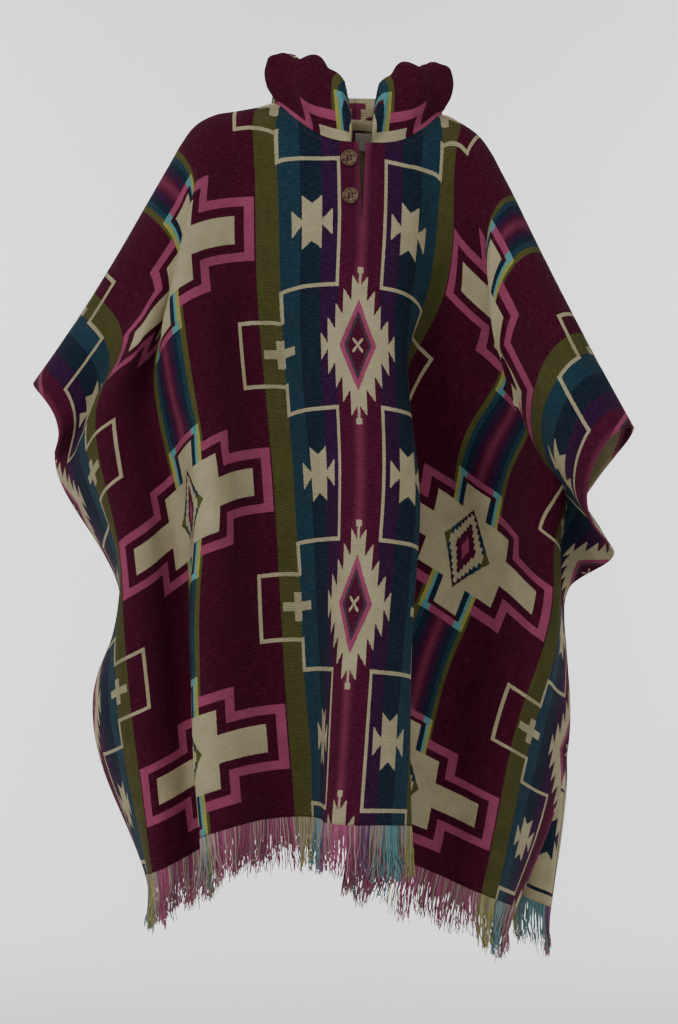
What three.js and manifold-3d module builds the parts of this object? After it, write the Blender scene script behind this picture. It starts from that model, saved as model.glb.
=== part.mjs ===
// A hooded blanket poncho, worn: two fringed panels that meet along the shoulders and arms, a short
// front slit with two buttons, and a two-piece hood that lies back round the neck.
// Millimetres. +Z is up, the front faces -Y, and the origin is the middle of the shoulder line.
// On the flat cloth, u runs across from the centre line and v runs down from the shoulder line.
import * as THREE from 'three';
import { mergeVertices } from 'three/addons/utils/BufferGeometryUtils.js';
import Module from 'manifold-3d';

const wasm = await Module();
wasm.setup();

// Cut sizes
const HALF_WIDTH = 575; // centre line to side edge
const PANEL_LENGTH = 860; // shoulder line to hem
const WALL = 2.4; // napped blanket cloth
const SEAM_GAP = 0.3;
const EDGE_GAP = 0.9; // between slanting cut edges, so that square walls stay a seam's gap apart
const NECK_HALF = 105; // where the neckline meets the shoulder line
const NECK_DROP_FRONT = 60;
const NECK_DROP_BACK = 30;
const SLIT_END = 148; // v at the bottom of the front slit
const SLIT_OPEN = 8; // how far the slit gapes at the neckline
const SLIT_REACH = 26; // how far from the slit the cloth gives way
const SHOULDER_GAP = 0.21; // each panel's share of the gap along the shoulder line

// Hood, buttons, label and fringe
const HOOD_START = 10; // how far from the slit each half of the hood begins
const HOOD_DROP = 205; // how far the hood bag hangs below the nape
const BUTTON_RADIUS = 10;
const BUTTON_THICK = 3.6;
const BUTTON_HOLE = 1.1; // radius of each of the four holes
const BUTTON_HOLE_AT = 2; // across and down from the middle
const BUTTON_SIDES = 20;
const LABEL = { width: 30, height: 18, thick: 0.9 };
const STRIP_HEIGHT = 5;
const STRAND = { width: 6.4, thick: 2.4, length: 58, taper: 0.55 };
const STRANDS = { front: 84, back: 72 };

// Hood: profiles of [outward, up] from the neck seam to the rim, at the side of the neck, where it
// stands as a rolled lobe one unit high, and at the nape, where it hangs as a bag and comes up again.
const LOBE = [
  [0, 0], [-1, 0.07], [1, 0.2], [7, 0.42], [9, 0.68],
  [4, 0.87], [-3, 0.97], [-9, 1], [-14, 0.99], [-18, 0.95],
];
const BAG = [
  [0, 0], [3, 0.05], [12, 0.06], [26, -0.06], [48, -0.36], [66, -0.78],
  [84, -0.99], [104, -0.93], [113, -0.45], [92, 0.27],
];
const LOBE_HEIGHT = [24, 74, 86, 74, 58, 54, 54, 54, 54]; // at each neckline point, front to nape
const HOOD_STEPS = 16;
const BAG_SPREAD = 1.7; // the bag is wider than the neckline that it hangs from
// Buttons on the left edge of the slit, the middle of each as [u, v].
const BUTTON_PLACES = { upper: [-13, 76], lower: [-13, 122] };
const LABEL_PLACE = [13, NECK_DROP_BACK + 10];

// Grid of each panel: columns from the centre line to the neckline's end, from there to the side
// edge, and rows. Both panels have the same columns, because they meet along the shoulders.
const NECK_COLUMNS = 4;
const SIDE_COLUMNS = 18;
const FRONT_ROWS = 27;
const BACK_ROWS = 22;
const ROW_CROWDING = 1.2; // rows lie closer together near the shoulder
const FOLD_ROUNDING = 30; // half of the cloth length that a fold takes to turn
const ROW_STEP = 2.5; // length of cloth between the points that a row is worked out at
const CENTRE_STEPS = 60; // the same down the centre line, as a count

// The tables below give a value at each of these distances down the cloth.
const LEVELS = [0, 153, 306, 459, 612, 860];

// The heading is the way a row of cloth runs as u grows, in degrees: 0 is level with the shoulders,
// 90 runs straight in towards the wearer, and more than 90 doubles back under the layer before it.
// at: u where the stretch starts, at each level.
const FRONT_FOLDS = [
  { stretch: 'left edge', at: [-575, -575, -575, -575, -575, -575], heading: [-8, -45, -76, -88, -70, -84] },
  { stretch: 'left arm', at: [-500, -500, -500, -500, -500, -500], heading: [-8, -50, -58, -84, -50, -80] },
  { stretch: 'left arm inner', at: [-415, -415, -415, -415, -415, -415], heading: [-8, 56, 74, 67, 62, 72] },
  { stretch: 'left hollow', at: [-335, -338, -340, -343, -346, -350], heading: [0, -54, -64, -74, -96, -98] },
  { stretch: 'left layer', at: [-245, -245, -245, -245, -245, -245], heading: [0, 38, 54, 60, 38, 31] },
  { stretch: 'mid left', at: [-145, -144, -143, -141, -140, -138], heading: [-22, -16, -33, -34, -38, -48] },
  { stretch: 'ridge left', at: [-50, -57, -64, -71, -78, -90], heading: [-15, -10, -35, -50, -66, -86] },
  { stretch: 'ridge right', at: [0, 0, 0, 0, 0, 0], heading: [15, 14, 35, 25, 45, 45] },
  { stretch: 'pleat under', at: [45, 60, 76, 91, 106, 131], heading: [20, 25, 118, 140, 150, 150] },
  { stretch: 'pleat return', at: [70, 101, 132, 163, 195, 245], heading: [28, 5, 20, 15, 10, 5] },
  { stretch: 'right layer', at: [130, 130, 200, 236, 272, 330], heading: [-26, -36, 30, 42, 48, 40] },
  { stretch: 'right armpit', at: [235, 235, 290, 325, 365, 390], heading: [-42, -36, -62, -58, -44, -70] },
  { stretch: 'right crease', at: [287, 287, 430, 430, 430, 440], heading: [-42, 85, 86, 82, 52, 70] },
  { stretch: 'right arm', at: [400, 400, 530, 575, 575, 575], heading: [-42, -50, 60, 82, 52, 70] },
  { stretch: 'right edge', at: [514, 514, 575, 575, 575, 575], heading: [-42, 45, 60, 82, 52, 70] },
];
const BACK_FOLDS = [
  { stretch: 'left edge', at: [-575, -575, -575, -575, -575, -575], heading: [12, -50, -80, -86, -82, -84] },
  { stretch: 'left arm', at: [-490, -490, -490, -490, -490, -490], heading: [12, 60, 74, 78, 72, 80] },
  { stretch: 'left crease', at: [-400, -398, -396, -395, -393, -390], heading: [8, -62, -78, -84, -84, -88] },
  { stretch: 'left layer', at: [-300, -302, -304, -305, -307, -310], heading: [0, 54, 68, 72, 66, 76] },
  { stretch: 'left blade', at: [-190, -192, -194, -195, -197, -200], heading: [0, -46, -54, -58, -66, -78] },
  { stretch: 'middle left', at: [-95, -98, -100, -103, -106, -110], heading: [-22, -18, 34, 45, 52, 62] },
  { stretch: 'middle', at: [-20, -22, -24, -25, -27, -30], heading: [-8, -8, -30, -50, -58, -66] },
  { stretch: 'middle right', at: [50, 52, 54, 55, 57, 60], heading: [24, 20, 56, 58, 58, 68] },
  { stretch: 'right blade', at: [130, 134, 137, 141, 144, 150], heading: [24, -40, -76, -80, -76, -82] },
  { stretch: 'right layer', at: [215, 219, 224, 228, 233, 240], heading: [36, 72, 84, 86, 80, 84] },
  { stretch: 'right crease', at: [320, 324, 327, 331, 334, 340], heading: [42, -70, -88, -92, -86, -88] },
  { stretch: 'right arm', at: [420, 422, 424, 425, 427, 430], heading: [42, 80, 88, 90, 82, 88] },
  { stretch: 'right edge', at: [480, 462, 462, 475, 490, 505], heading: [42, -70, -84, -80, -70, -80] },
];
// How far the centre line stands in front of or behind the shoulder line, and how far it leans.
const FRONT_CENTRE = { depth: [48, 72, 112, 148, 180, 195], lean: [4, 7, -1, 3, -6, -24] };
const BACK_CENTRE = { depth: [50, 92, 124, 138, 146, 150], lean: [0, 0, 2, 4, 4, 6] };
// Fall of the shoulder line in degrees, and the share of it that a row keeps at each level.
const SHOULDER = {
  u: [-575, -340, -230, -175, -20, 20, 110, 185, 575],
  fall: [53, 60, 60, 9, 3, 10, 15, 61, 56],
};
const FALL_KEPT = {
  left: [1, 0.7, 0.5, 0.43, 0.37, 0.21],
  right: [1, 0.86, 0.57, 0.46, 0.48, 0.22],
};
// How much nearer to the centre line the fall begins on the right, at each level.
const FALL_EARLY = [0, 80, 30, 0, 0, 0];
// The cloth rolls over the shoulders and arms of a general figure, and then leaves them.
const ROLL = {
  radius: 46,
  angle: 80, // degrees, where the cloth leaves the round
  from: [60, 130], // the roll starts between these distances from the centre line
  shoulder: [20, 120], // v between which the roll gives way to the rows, on the shoulders
  arm: [20, 255], // the same on the arms
  armStart: [205, 330], // distances from the centre line between which the shoulder becomes the arm
  hold: 0.14, // pull back to the rolled form
};

// Easing: the threads slip back to their cut length while the folds are held.
const EASE = {
  turns: 120,
  step: 1.5,
  shear: 0.35, // pull of the diagonals, against 1 for the threads
  hold: [0.1, 0.02, 0.03], // pull back to the first form, in X, Y and Z
  bendAcross: 0.02, // stiffness of the cloth from column to column
  crumple: 0.12, // stiffness against wrinkles that are only a column or two wide
  bendDown: 0.25,
};

const smooth = (t) => THREE.MathUtils.smoothstep(t, -1, 1);
const rad = THREE.MathUtils.degToRad;

function throughLevels(values, v) {
  // A smooth curve through the values at the levels.
  const last = LEVELS.length - 1;
  let k = 0;
  while (k < last - 1 && v >= LEVELS[k + 1]) k += 1;
  const slope = (i) => {
    const lo = Math.max(i - 1, 0);
    const hi = Math.min(i + 1, last);
    return (values[hi] - values[lo]) / (LEVELS[hi] - LEVELS[lo]);
  };
  const span = LEVELS[k + 1] - LEVELS[k];
  const t = (v - LEVELS[k]) / span;
  const t2 = t * t;
  const t3 = t2 * t;
  return (2 * t3 - 3 * t2 + 1) * values[k] + (t3 - 2 * t2 + t) * slope(k) * span
    + (3 * t2 - 2 * t3) * values[k + 1] + (t3 - t2) * slope(k + 1) * span;
}

function between(xs, ys, x) {
  // Straight lines between the table's points.
  let k = 0;
  while (k < xs.length - 2 && x > xs[k + 1]) k += 1;
  const t = THREE.MathUtils.clamp((x - xs[k]) / (xs[k + 1] - xs[k]), 0, 1);
  return ys[k] + (ys[k + 1] - ys[k]) * t;
}

function heading(folds, u, v) {
  let degrees = throughLevels(folds[0].heading, v);
  for (let k = 1; k < folds.length; k += 1) {
    const turn = throughLevels(folds[k].heading, v) - throughLevels(folds[k - 1].heading, v);
    degrees += turn * smooth((u - throughLevels(folds[k].at, v)) / FOLD_ROUNDING);
  }
  return rad(degrees);
}

function fall(u, v) {
  const kept = throughLevels(u < 0 ? FALL_KEPT.left : FALL_KEPT.right, v);
  const early = throughLevels(FALL_EARLY, v) * THREE.MathUtils.smoothstep(u, 0, 60);
  return rad(between(SHOULDER.u, SHOULDER.fall, u + early) * kept);
}

function rowOfCloth(folds, centre, v) {
  // One row across the cloth, as a function of u: every millimetre of cloth is a millimetre long.
  const step = ROW_STEP;
  const count = Math.round(HALF_WIDTH / step);
  const way = (u) => {
    const turn = heading(folds, u, v);
    const down = fall(u, v);
    const level = Math.cos(down);
    return [level * Math.cos(turn), level * Math.sin(turn), -Math.sin(down) * Math.sign(u)];
  };
  let drop = 0;
  for (let k = 0; k < CENTRE_STEPS; k += 1) {
    const [a, b] = [(v * k) / CENTRE_STEPS, (v * (k + 1)) / CENTRE_STEPS];
    const dy = throughLevels(centre.depth, b) - throughLevels(centre.depth, a);
    const dx = throughLevels(centre.lean, b) - throughLevels(centre.lean, a);
    drop += Math.sqrt(Math.max(0, (b - a) ** 2 - dy * dy - dx * dx));
  }
  const start = [throughLevels(centre.lean, v), -throughLevels(centre.depth, v), -drop];
  const half = [1, -1].map((side) => {
    const points = [start];
    let before = way(0);
    for (let k = 1; k <= count; k += 1) {
      const here = way(side * k * step);
      const last = points[k - 1];
      points.push(last.map((p, axis) => p + side * step * 0.5 * (before[axis] + here[axis])));
      before = here;
    }
    return points;
  });
  return (u) => {
    const points = half[u < 0 ? 1 : 0];
    const at = Math.min(Math.abs(u) / step, count);
    const k = Math.min(Math.floor(at), count - 1);
    return points[k].map((p, axis) => p + (points[k + 1][axis] - p) * (at - k));
  };
}

function columnPlaces() {
  const right = [];
  for (let k = 1; k <= NECK_COLUMNS; k += 1) right.push((NECK_HALF * k) / NECK_COLUMNS);
  const side = (HALF_WIDTH - NECK_HALF) / SIDE_COLUMNS;
  for (let k = 1; k <= SIDE_COLUMNS; k += 1) right.push(NECK_HALF + side * k);
  return [...right.map((u) => -u).reverse(), 0, ...right];
}

const COLUMNS = columnPlaces();
const CENTRE = NECK_COLUMNS + SIDE_COLUMNS;

function flatGrid(rows, neckDrop) {
  // The cut panel: rows start at the neckline curve and end at the hem.
  const flat = [];
  for (let j = 0; j <= rows; j += 1) {
    const t = (j / rows) ** ROW_CROWDING;
    flat.push(COLUMNS.map((u) => {
      const top = neckDrop * Math.max(0, 1 - (u / NECK_HALF) ** 2);
      return [u, top + (PANEL_LENGTH - top) * t];
    }));
  }
  return flat;
}

const shoulderRow = rowOfCloth(FRONT_FOLDS, FRONT_CENTRE, 0);

function rolled(u, v, facing) {
  // Cloth laid square over the round of a shoulder or arm, and straight on from there.
  const side = Math.min(Math.abs(u), HALF_WIDTH - 2) * Math.sign(u);
  const along = new THREE.Vector3(...shoulderRow(side + 2)).sub(new THREE.Vector3(...shoulderRow(side - 2)));
  along.normalize();
  const out = new THREE.Vector3(0, facing, 0).addScaledVector(along, -facing * along.y).normalize();
  const down = along.clone().cross(out);
  if (down.z > 0) down.negate();
  const angle = Math.min(v / ROLL.radius, rad(ROLL.angle));
  const rest = v - angle * ROLL.radius;
  const point = new THREE.Vector3(...shoulderRow(u));
  point.addScaledVector(out, ROLL.radius * Math.sin(angle) + rest * Math.cos(angle));
  return point.addScaledVector(down, ROLL.radius * (1 - Math.cos(angle)) + rest * Math.sin(angle));
}

function rolledShare(u, v) {
  const { smoothstep, lerp } = THREE.MathUtils;
  const arm = smoothstep(Math.abs(u), ...ROLL.armStart);
  const [from, to] = [0, 1].map((k) => lerp(ROLL.shoulder[k], ROLL.arm[k], arm));
  return smoothstep(Math.abs(u), ...ROLL.from) * (1 - smoothstep(v, from, to));
}

function ease(points, flat) {
  const rows = points.length;
  const columns = points[0].length;
  const held = points.map((row) => row.map((p) => [...p]));
  const links = [];
  const link = (j, i, jj, ii, weight) => {
    if (jj >= rows || ii < 0 || ii >= columns) return;
    const rest = Math.hypot(flat[j][i][0] - flat[jj][ii][0], flat[j][i][1] - flat[jj][ii][1]);
    links.push([j, i, jj, ii, rest, weight]);
  };
  for (let j = 0; j < rows; j += 1) {
    for (let i = 0; i < columns; i += 1) {
      link(j, i, j, i + 1, 1);
      link(j, i, j + 1, i, 1);
      link(j, i, j + 1, i + 1, EASE.shear);
      link(j, i, j + 1, i - 1, EASE.shear);
    }
  }
  let now = points.map((row) => row.map((p) => [...p]));
  for (let turn = 0; turn < EASE.turns; turn += 1) {
    const push = now.map((row) => row.map(() => [0, 0, 0, 0]));
    for (const [j, i, jj, ii, rest, weight] of links) {
      const [a, b] = [now[j][i], now[jj][ii]];
      const d = [b[0] - a[0], b[1] - a[1], b[2] - a[2]];
      const length = Math.hypot(...d);
      const pull = (0.5 * weight * (length - rest)) / Math.max(length, 1e-9);
      for (let k = 0; k < 3; k += 1) {
        push[j][i][k] += d[k] * pull;
        push[jj][ii][k] -= d[k] * pull;
      }
      push[j][i][3] += weight;
      push[jj][ii][3] += weight;
    }
    const moved = now.map((row, j) => row.map((p, i) => {
      const total = push[j][i][3];
      return [0, 1, 2].map((k) => p[k] + (EASE.step * push[j][i][k]) / total);
    }));
    const bend = moved.map((row) => row.map((p, i) => {
      if (i === 0 || i === columns - 1) return [0, 0, 0];
      return p.map((value, k) => (row[i - 1][k] + row[i + 1][k]) / 2 - value);
    }));
    now = moved.map((row, j) => row.map((p, i) => {
      if (j === 0) return [...held[0][i]];
      const roll = ROLL.hold * rolledShare(...flat[j][i]);
      return [0, 1, 2].map((k) => {
        let value = p[k];
        if (j < rows - 1) {
          value += EASE.bendDown * ((moved[j - 1][i][k] + moved[j + 1][i][k]) / 2 - p[k]);
        }
        if (i > 0 && i < columns - 1) {
          const around = (bend[j][i - 1][k] + bend[j][i + 1][k]) / 2;
          value += EASE.bendAcross * bend[j][i][k] - EASE.crumple * (around - bend[j][i][k]);
        }
        return value + (EASE.hold[k] + roll) * (held[j][i][k] - value);
      });
    }));
  }
  return now;
}

function panelSurface(rowCount, folds, centre, neckDrop, facing) {
  // facing is -1 for the front and 1 for the back, whose table is read as seen from behind.
  const flat = flatGrid(rowCount, neckDrop);
  const rows = new Map();
  const points = flat.map((row) => row.map(([u, v]) => {
    const key = v.toFixed(6);
    if (!rows.has(key)) rows.set(key, rowOfCloth(folds, centre, v));
    const [x, y, z] = rows.get(key)(u);
    const point = new THREE.Vector3(x, -facing * y, z);
    return point.lerp(rolled(u, v, facing), rolledShare(u, v)).toArray();
  }));
  flat[0].forEach(([u], i) => {
    if (Math.abs(u) >= NECK_HALF) points[0][i] = shoulderRow(u);
  });
  const eased = ease(points, flat).map((row) => row.map((p) => new THREE.Vector3(...p)));
  return { flat, points: eased, normals: normalsOf(eased, -facing) };
}

function normalsOf(points, sign) {
  return points.map((row, j) => row.map((p, i) => {
    const across = row[Math.min(i + 1, row.length - 1)].clone().sub(row[Math.max(i - 1, 0)]);
    const lower = points[Math.min(j + 1, points.length - 1)][i];
    const along = lower.clone().sub(points[Math.max(j - 1, 0)][i]);
    return along.cross(across).normalize().multiplyScalar(sign);
  }));
}

// Solids

function closedWall(middle, normals, cells, thickness) {
  // A wall round a sheet: the cells are quads, anticlockwise as seen from the side the normals face.
  const count = middle.length;
  const position = [];
  for (const side of [0.5, -0.5]) {
    middle.forEach((p, k) => {
      const q = p.clone().addScaledVector(normals[k], side * thickness);
      position.push(q.x, q.y, q.z);
    });
  }
  const index = [];
  const edges = new Set();
  for (const cell of cells) cell.forEach((a, k) => edges.add(`${a},${cell[(k + 1) % 4]}`));
  for (const cell of cells) {
    const [a, b, c, d] = cell;
    index.push(a, b, c, a, c, d);
    index.push(a + count, c + count, b + count, a + count, d + count, c + count);
    cell.forEach((from, k) => {
      const to = cell[(k + 1) % 4];
      if (edges.has(`${to},${from}`)) return;
      index.push(from, from + count, to + count, from, to + count, to);
    });
  }
  const geometry = new THREE.BufferGeometry();
  geometry.setAttribute('position', new THREE.Float32BufferAttribute(position, 3));
  geometry.setIndex(index);
  return geometry;
}

function gridCells(rows, columns, turned) {
  const cells = [];
  for (let j = 0; j < rows - 1; j += 1) {
    for (let i = 0; i < columns - 1; i += 1) {
      const [upper, lower] = [j * columns + i, (j + 1) * columns + i];
      const cell = [upper, lower, lower + 1, upper + 1];
      cells.push(turned ? cell.reverse() : cell);
    }
  }
  return cells;
}

const slitShare = (v) => Math.max(0, (SLIT_END - v) / (SLIT_END - NECK_DROP_FRONT));

function openSlit(front) {
  // The cloth beside the slit gives way to both sides; the centre column belongs to the left edge,
  // and its right edge is added as extra points.
  const move = (u, v, side) => side * 0.5 * SLIT_OPEN * slitShare(v) * Math.exp(-Math.abs(u) / SLIT_REACH);
  front.rightEdge = [];
  front.points.forEach((row, j) => {
    const v = front.flat[j][CENTRE][1];
    if (v < SLIT_END) front.rightEdge.push(row[CENTRE].clone().setX(row[CENTRE].x + move(0, v, 1)));
    row.forEach((p, i) => {
      const [u, down] = front.flat[j][i];
      p.x += move(u, down, u > 0 ? 1 : -1);
    });
  });
}

function panelGeometry(panel, turned) {
  const columns = COLUMNS.length;
  const middle = panel.points.flat();
  const normals = panel.normals.flat();
  const cells = gridCells(panel.points.length, columns, turned);
  (panel.rightEdge ?? []).forEach((p, j) => {
    const old = j * columns + CENTRE;
    const added = middle.length;
    middle.push(p);
    normals.push(normals[old]);
    for (const cell of cells) {
      const isRight = cell.includes(old) && cell.includes(j * columns + CENTRE + 1);
      if (isRight) cell[cell.indexOf(old)] = added;
    }
  });
  return closedWall(middle, normals, cells, WALL);
}

function joinShoulders(front, back) {
  // Both walls end square at the shoulder line, a seam's gap apart.
  COLUMNS.forEach((u, i) => {
    if (Math.abs(u) < NECK_HALF) return;
    const up = front.normals[0][i].clone().add(back.normals[0][i]).normalize();
    front.normals[0][i].copy(up);
    back.normals[0][i].copy(up);
    front.points[0][i].y -= SHOULDER_GAP;
    back.points[0][i].y += SHOULDER_GAP;
  });
}

// Hood

function profilePoint(profile, t) {
  const curve = new THREE.SplineCurve(profile.map(([r, z]) => new THREE.Vector2(r, z)));
  return curve.getPoint(t);
}

function hoodSeam(front, back, side) {
  // The neckline from the slit over the shoulder to the nape, moved off the panels' cut edge.
  const seam = [];
  const add = (panel, k) => {
    const i = CENTRE + side * k;
    const edge = panel.points[0][i].clone();
    if (k === 0 && panel === front) {
      if (side > 0) edge.copy(front.rightEdge[0]);
      edge.lerp(front.points[0][i + side], (HOOD_START * NECK_COLUMNS) / NECK_HALF);
    }
    if (k === 0 && panel === back) edge.x += side * SHOULDER_GAP;
    const rise = panel.points[0][i].clone().sub(panel.points[1][i]).normalize();
    seam.push({ point: edge.addScaledVector(rise, EDGE_GAP), normal: panel.normals[0][i].clone() });
  };
  for (let k = 0; k < NECK_COLUMNS; k += 1) add(front, k);
  const corner = front.points[0][CENTRE + side * NECK_COLUMNS].clone();
  corner.y = 0;
  corner.x -= side * WALL;
  corner.z += EDGE_GAP;
  seam.push({ point: corner, normal: front.normals[0][CENTRE + side * NECK_COLUMNS].clone() });
  for (let k = NECK_COLUMNS - 1; k >= 0; k -= 1) add(back, k);
  return seam;
}

function hoodHalf(front, back, side) {
  const seam = hoodSeam(front, back, side);
  const last = seam.length - 1;
  const columns = seam.map(({ point }, k) => {
    const round = (Math.PI * k) / last;
    const out = new THREE.Vector3(side * Math.sin(round), -Math.cos(round), 0);
    const bag = THREE.MathUtils.smoothstep(k / last, 0.5, 0.95);
    out.x *= 1 + (BAG_SPREAD - 1) * bag;
    const column = [];
    for (let n = 0; n <= HOOD_STEPS; n += 1) {
      const lobe = profilePoint(LOBE, n / HOOD_STEPS);
      const hang = profilePoint(BAG, n / HOOD_STEPS);
      const r = lobe.x * (1 - bag) + hang.x * bag;
      const z = lobe.y * LOBE_HEIGHT[k] * (1 - bag) + hang.y * HOOD_DROP * bag;
      column.push(point.clone().addScaledVector(out, r).setZ(point.z + z));
    }
    return column;
  });
  const rows = [];
  for (let n = 0; n <= HOOD_STEPS; n += 1) rows.push(columns.map((column) => column[n]));
  const normals = normalsOf(rows, side);
  seam.forEach(({ normal }, k) => normals[0][k].copy(normal));
  normals.forEach((row) => row[last].setX(0).normalize()); // square at the centre back seam
  const cells = gridCells(rows.length, rows[0].length, side < 0);
  return closedWall(rows.flat(), normals.flat(), cells, WALL);
}

function pointOn(panel, u, v) {
  // The panel's middle surface and outward normal at a place on the flat cloth.
  let i = 0;
  while (i < COLUMNS.length - 2 && u > COLUMNS[i + 1]) i += 1;
  const s = (u - COLUMNS[i]) / (COLUMNS[i + 1] - COLUMNS[i]);
  let j = 0;
  while (j < panel.flat.length - 2 && v > panel.flat[j + 1][i][1]) j += 1;
  const [top, bottom] = [panel.flat[j][i][1], panel.flat[j + 1][i][1]];
  const t = (v - top) / (bottom - top);
  const mix = (grid) => {
    const upper = grid[j][i].clone().lerp(grid[j][i + 1], s);
    return upper.lerp(grid[j + 1][i].clone().lerp(grid[j + 1][i + 1], s), t);
  };
  return { point: mix(panel.points), normal: mix(panel.normals).normalize() };
}

function toSolid(geometry) {
  const bare = geometry.clone();
  bare.deleteAttribute('normal');
  bare.deleteAttribute('uv');
  const merged = mergeVertices(bare, 1e-4);
  const vertProperties = new Float32Array(merged.attributes.position.array);
  const triVerts = new Uint32Array(merged.index.array);
  return new wasm.Manifold(new wasm.Mesh({ numProp: 3, vertProperties, triVerts }));
}

function toGeometry(solid) {
  const mesh = solid.getMesh();
  const geometry = new THREE.BufferGeometry();
  geometry.setAttribute('position', new THREE.BufferAttribute(mesh.vertProperties, 3));
  geometry.setIndex(new THREE.BufferAttribute(mesh.triVerts, 1));
  return geometry;
}

function buttonGeometry() {
  // A dished disc with a raised rim and four sewing holes, its axis along Y.
  const [r, h] = [BUTTON_RADIUS, BUTTON_THICK / 2];
  const outline = [
    [0, -h], [r - 1.2, -h], [r, -h + 1.2], [r, h - 0.8],
    [r - 0.8, h], [r - 2, h], [r - 3.6, h - 1], [0, h - 1],
  ].map(([x, y]) => new THREE.Vector2(x, y));
  let disc = toSolid(new THREE.LatheGeometry(outline, BUTTON_SIDES));
  for (const [x, z] of [[1, 1], [1, -1], [-1, 1], [-1, -1]]) {
    const hole = new THREE.CylinderGeometry(BUTTON_HOLE, BUTTON_HOLE, 2 * BUTTON_THICK, 8);
    hole.translate(x * BUTTON_HOLE_AT, 0, z * BUTTON_HOLE_AT);
    disc = disc.subtract(toSolid(hole));
  }
  return toGeometry(disc);
}

function placeOn(mesh, panel, place, away, axis) {
  // Seats a flat piece on a panel: its own axis turns to the panel's normal.
  const { point, normal } = pointOn(panel, ...place);
  mesh.position.copy(point.addScaledVector(normal, away));
  mesh.quaternion.setFromUnitVectors(axis, normal.multiplyScalar(Math.sign(away)));
  return mesh;
}

function fringeGeometry(panel, strands, turned) {
  // Strands hang from a narrow strip, a seam's gap under the hem.
  const last = panel.points.length - 1;
  const hem = COLUMNS.map((u, i) => {
    const down = panel.points[last][i].clone().sub(panel.points[last - 1][i]).normalize();
    return { u, point: panel.points[last][i], down, normal: panel.normals[last][i] };
  });
  const rows = [EDGE_GAP, EDGE_GAP + STRIP_HEIGHT].map((distance) => (
    hem.map(({ point, down }) => point.clone().addScaledVector(down, distance))));
  const normals = [...hem, ...hem].map(({ normal }) => normal);
  const strip = closedWall(rows.flat(), normals, gridCells(2, COLUMNS.length, turned), WALL);
  const solids = [toSolid(strip)];
  const margin = STRAND.width;
  for (let k = 0; k < strands; k += 1) {
    const u = -HALF_WIDTH + margin + ((2 * HALF_WIDTH - 2 * margin) * k) / (strands - 1);
    let i = 0;
    while (i < hem.length - 2 && u > hem[i + 1].u) i += 1;
    const s = (u - hem[i].u) / (hem[i + 1].u - hem[i].u);
    const across = hem[i + 1].point.clone().sub(hem[i].point).normalize();
    const down = hem[i].down.clone().lerp(hem[i + 1].down, s).normalize();
    const normal = hem[i].normal.clone().lerp(hem[i + 1].normal, s).normalize();
    const root = hem[i].point.clone().lerp(hem[i + 1].point, s).addScaledVector(down, STRIP_HEIGHT * 0.6);
    // Slow waves along the hem give the strands uneven lengths and tips.
    const length = STRAND.length * (1 + 0.12 * Math.sin(k * 2.4) + 0.05 * Math.sin(k * 7.1));
    const tip = root.clone().addScaledVector(down, length);
    tip.addScaledVector(across, 2.2 * Math.sin(k * 1.7)).addScaledVector(normal, 3 * Math.sin(k * 3.1));
    const position = [];
    for (const [end, size] of [[root, 1], [tip, STRAND.taper]]) {
      for (const [x, y] of [[-0.5, -0.45], [0.5, -0.45], [0, 0.45]]) {
        const p = end.clone().addScaledVector(across, x * STRAND.width * size);
        p.addScaledVector(normal, y * STRAND.thick * size);
        position.push(p.x, p.y, p.z);
      }
    }
    const index = [0, 2, 1, 3, 4, 5, 0, 1, 4, 0, 4, 3, 1, 2, 5, 1, 5, 4, 2, 0, 3, 2, 3, 5];
    const strand = new THREE.BufferGeometry();
    strand.setAttribute('position', new THREE.Float32BufferAttribute(position, 3));
    strand.setIndex(turned ? index.reverse() : index);
    solids.push(toSolid(strand));
  }
  return toGeometry(wasm.Manifold.union(solids));
}

// The garment

const poncho = new THREE.Group();

function addPiece(name, geometry, material) {
  const mesh = new THREE.Mesh(geometry, material);
  mesh.name = name;
  poncho.add(mesh);
  return mesh;
}

const blanket = new THREE.MeshStandardMaterial({ color: 0x4a0a2a, roughness: 0.95, metalness: 0 });
const hoodCloth = new THREE.MeshStandardMaterial({ color: 0x5c1234, roughness: 0.95, metalness: 0 });
const yarn = new THREE.MeshStandardMaterial({ color: 0xa04a72, roughness: 0.9, metalness: 0 });
const shell = new THREE.MeshStandardMaterial({ color: 0x5a3d28, roughness: 0.4, metalness: 0 });
const tape = new THREE.MeshStandardMaterial({ color: 0xd8d4c8, roughness: 0.7, metalness: 0 });

const front = panelSurface(FRONT_ROWS, FRONT_FOLDS, FRONT_CENTRE, NECK_DROP_FRONT, -1);
const back = panelSurface(BACK_ROWS, BACK_FOLDS, BACK_CENTRE, NECK_DROP_BACK, 1);
joinShoulders(front, back);
openSlit(front);

addPiece('front_panel', panelGeometry(front, false), blanket);
addPiece('back_panel', panelGeometry(back, true), blanket);
addPiece('hood_left', hoodHalf(front, back, -1), hoodCloth);
addPiece('hood_right', hoodHalf(front, back, 1), hoodCloth);
addPiece('fringe_front', fringeGeometry(front, STRANDS.front, false), yarn);
addPiece('fringe_back', fringeGeometry(back, STRANDS.back, true), yarn);

for (const [name, place] of Object.entries(BUTTON_PLACES)) {
  const button = addPiece(`button_${name}`, buttonGeometry(), shell);
  const away = WALL / 2 + SEAM_GAP * 2 + BUTTON_THICK / 2;
  placeOn(button, front, place, away, new THREE.Vector3(0, 1, 0));
}
const label = addPiece('neck_label', new THREE.BoxGeometry(LABEL.width, LABEL.height, LABEL.thick), tape);
const labelDepth = WALL / 2 + SEAM_GAP * 3 + LABEL.thick / 2;
placeOn(label, back, LABEL_PLACE, -labelDepth, new THREE.Vector3(0, 0, 1));

export default poncho;
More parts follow.
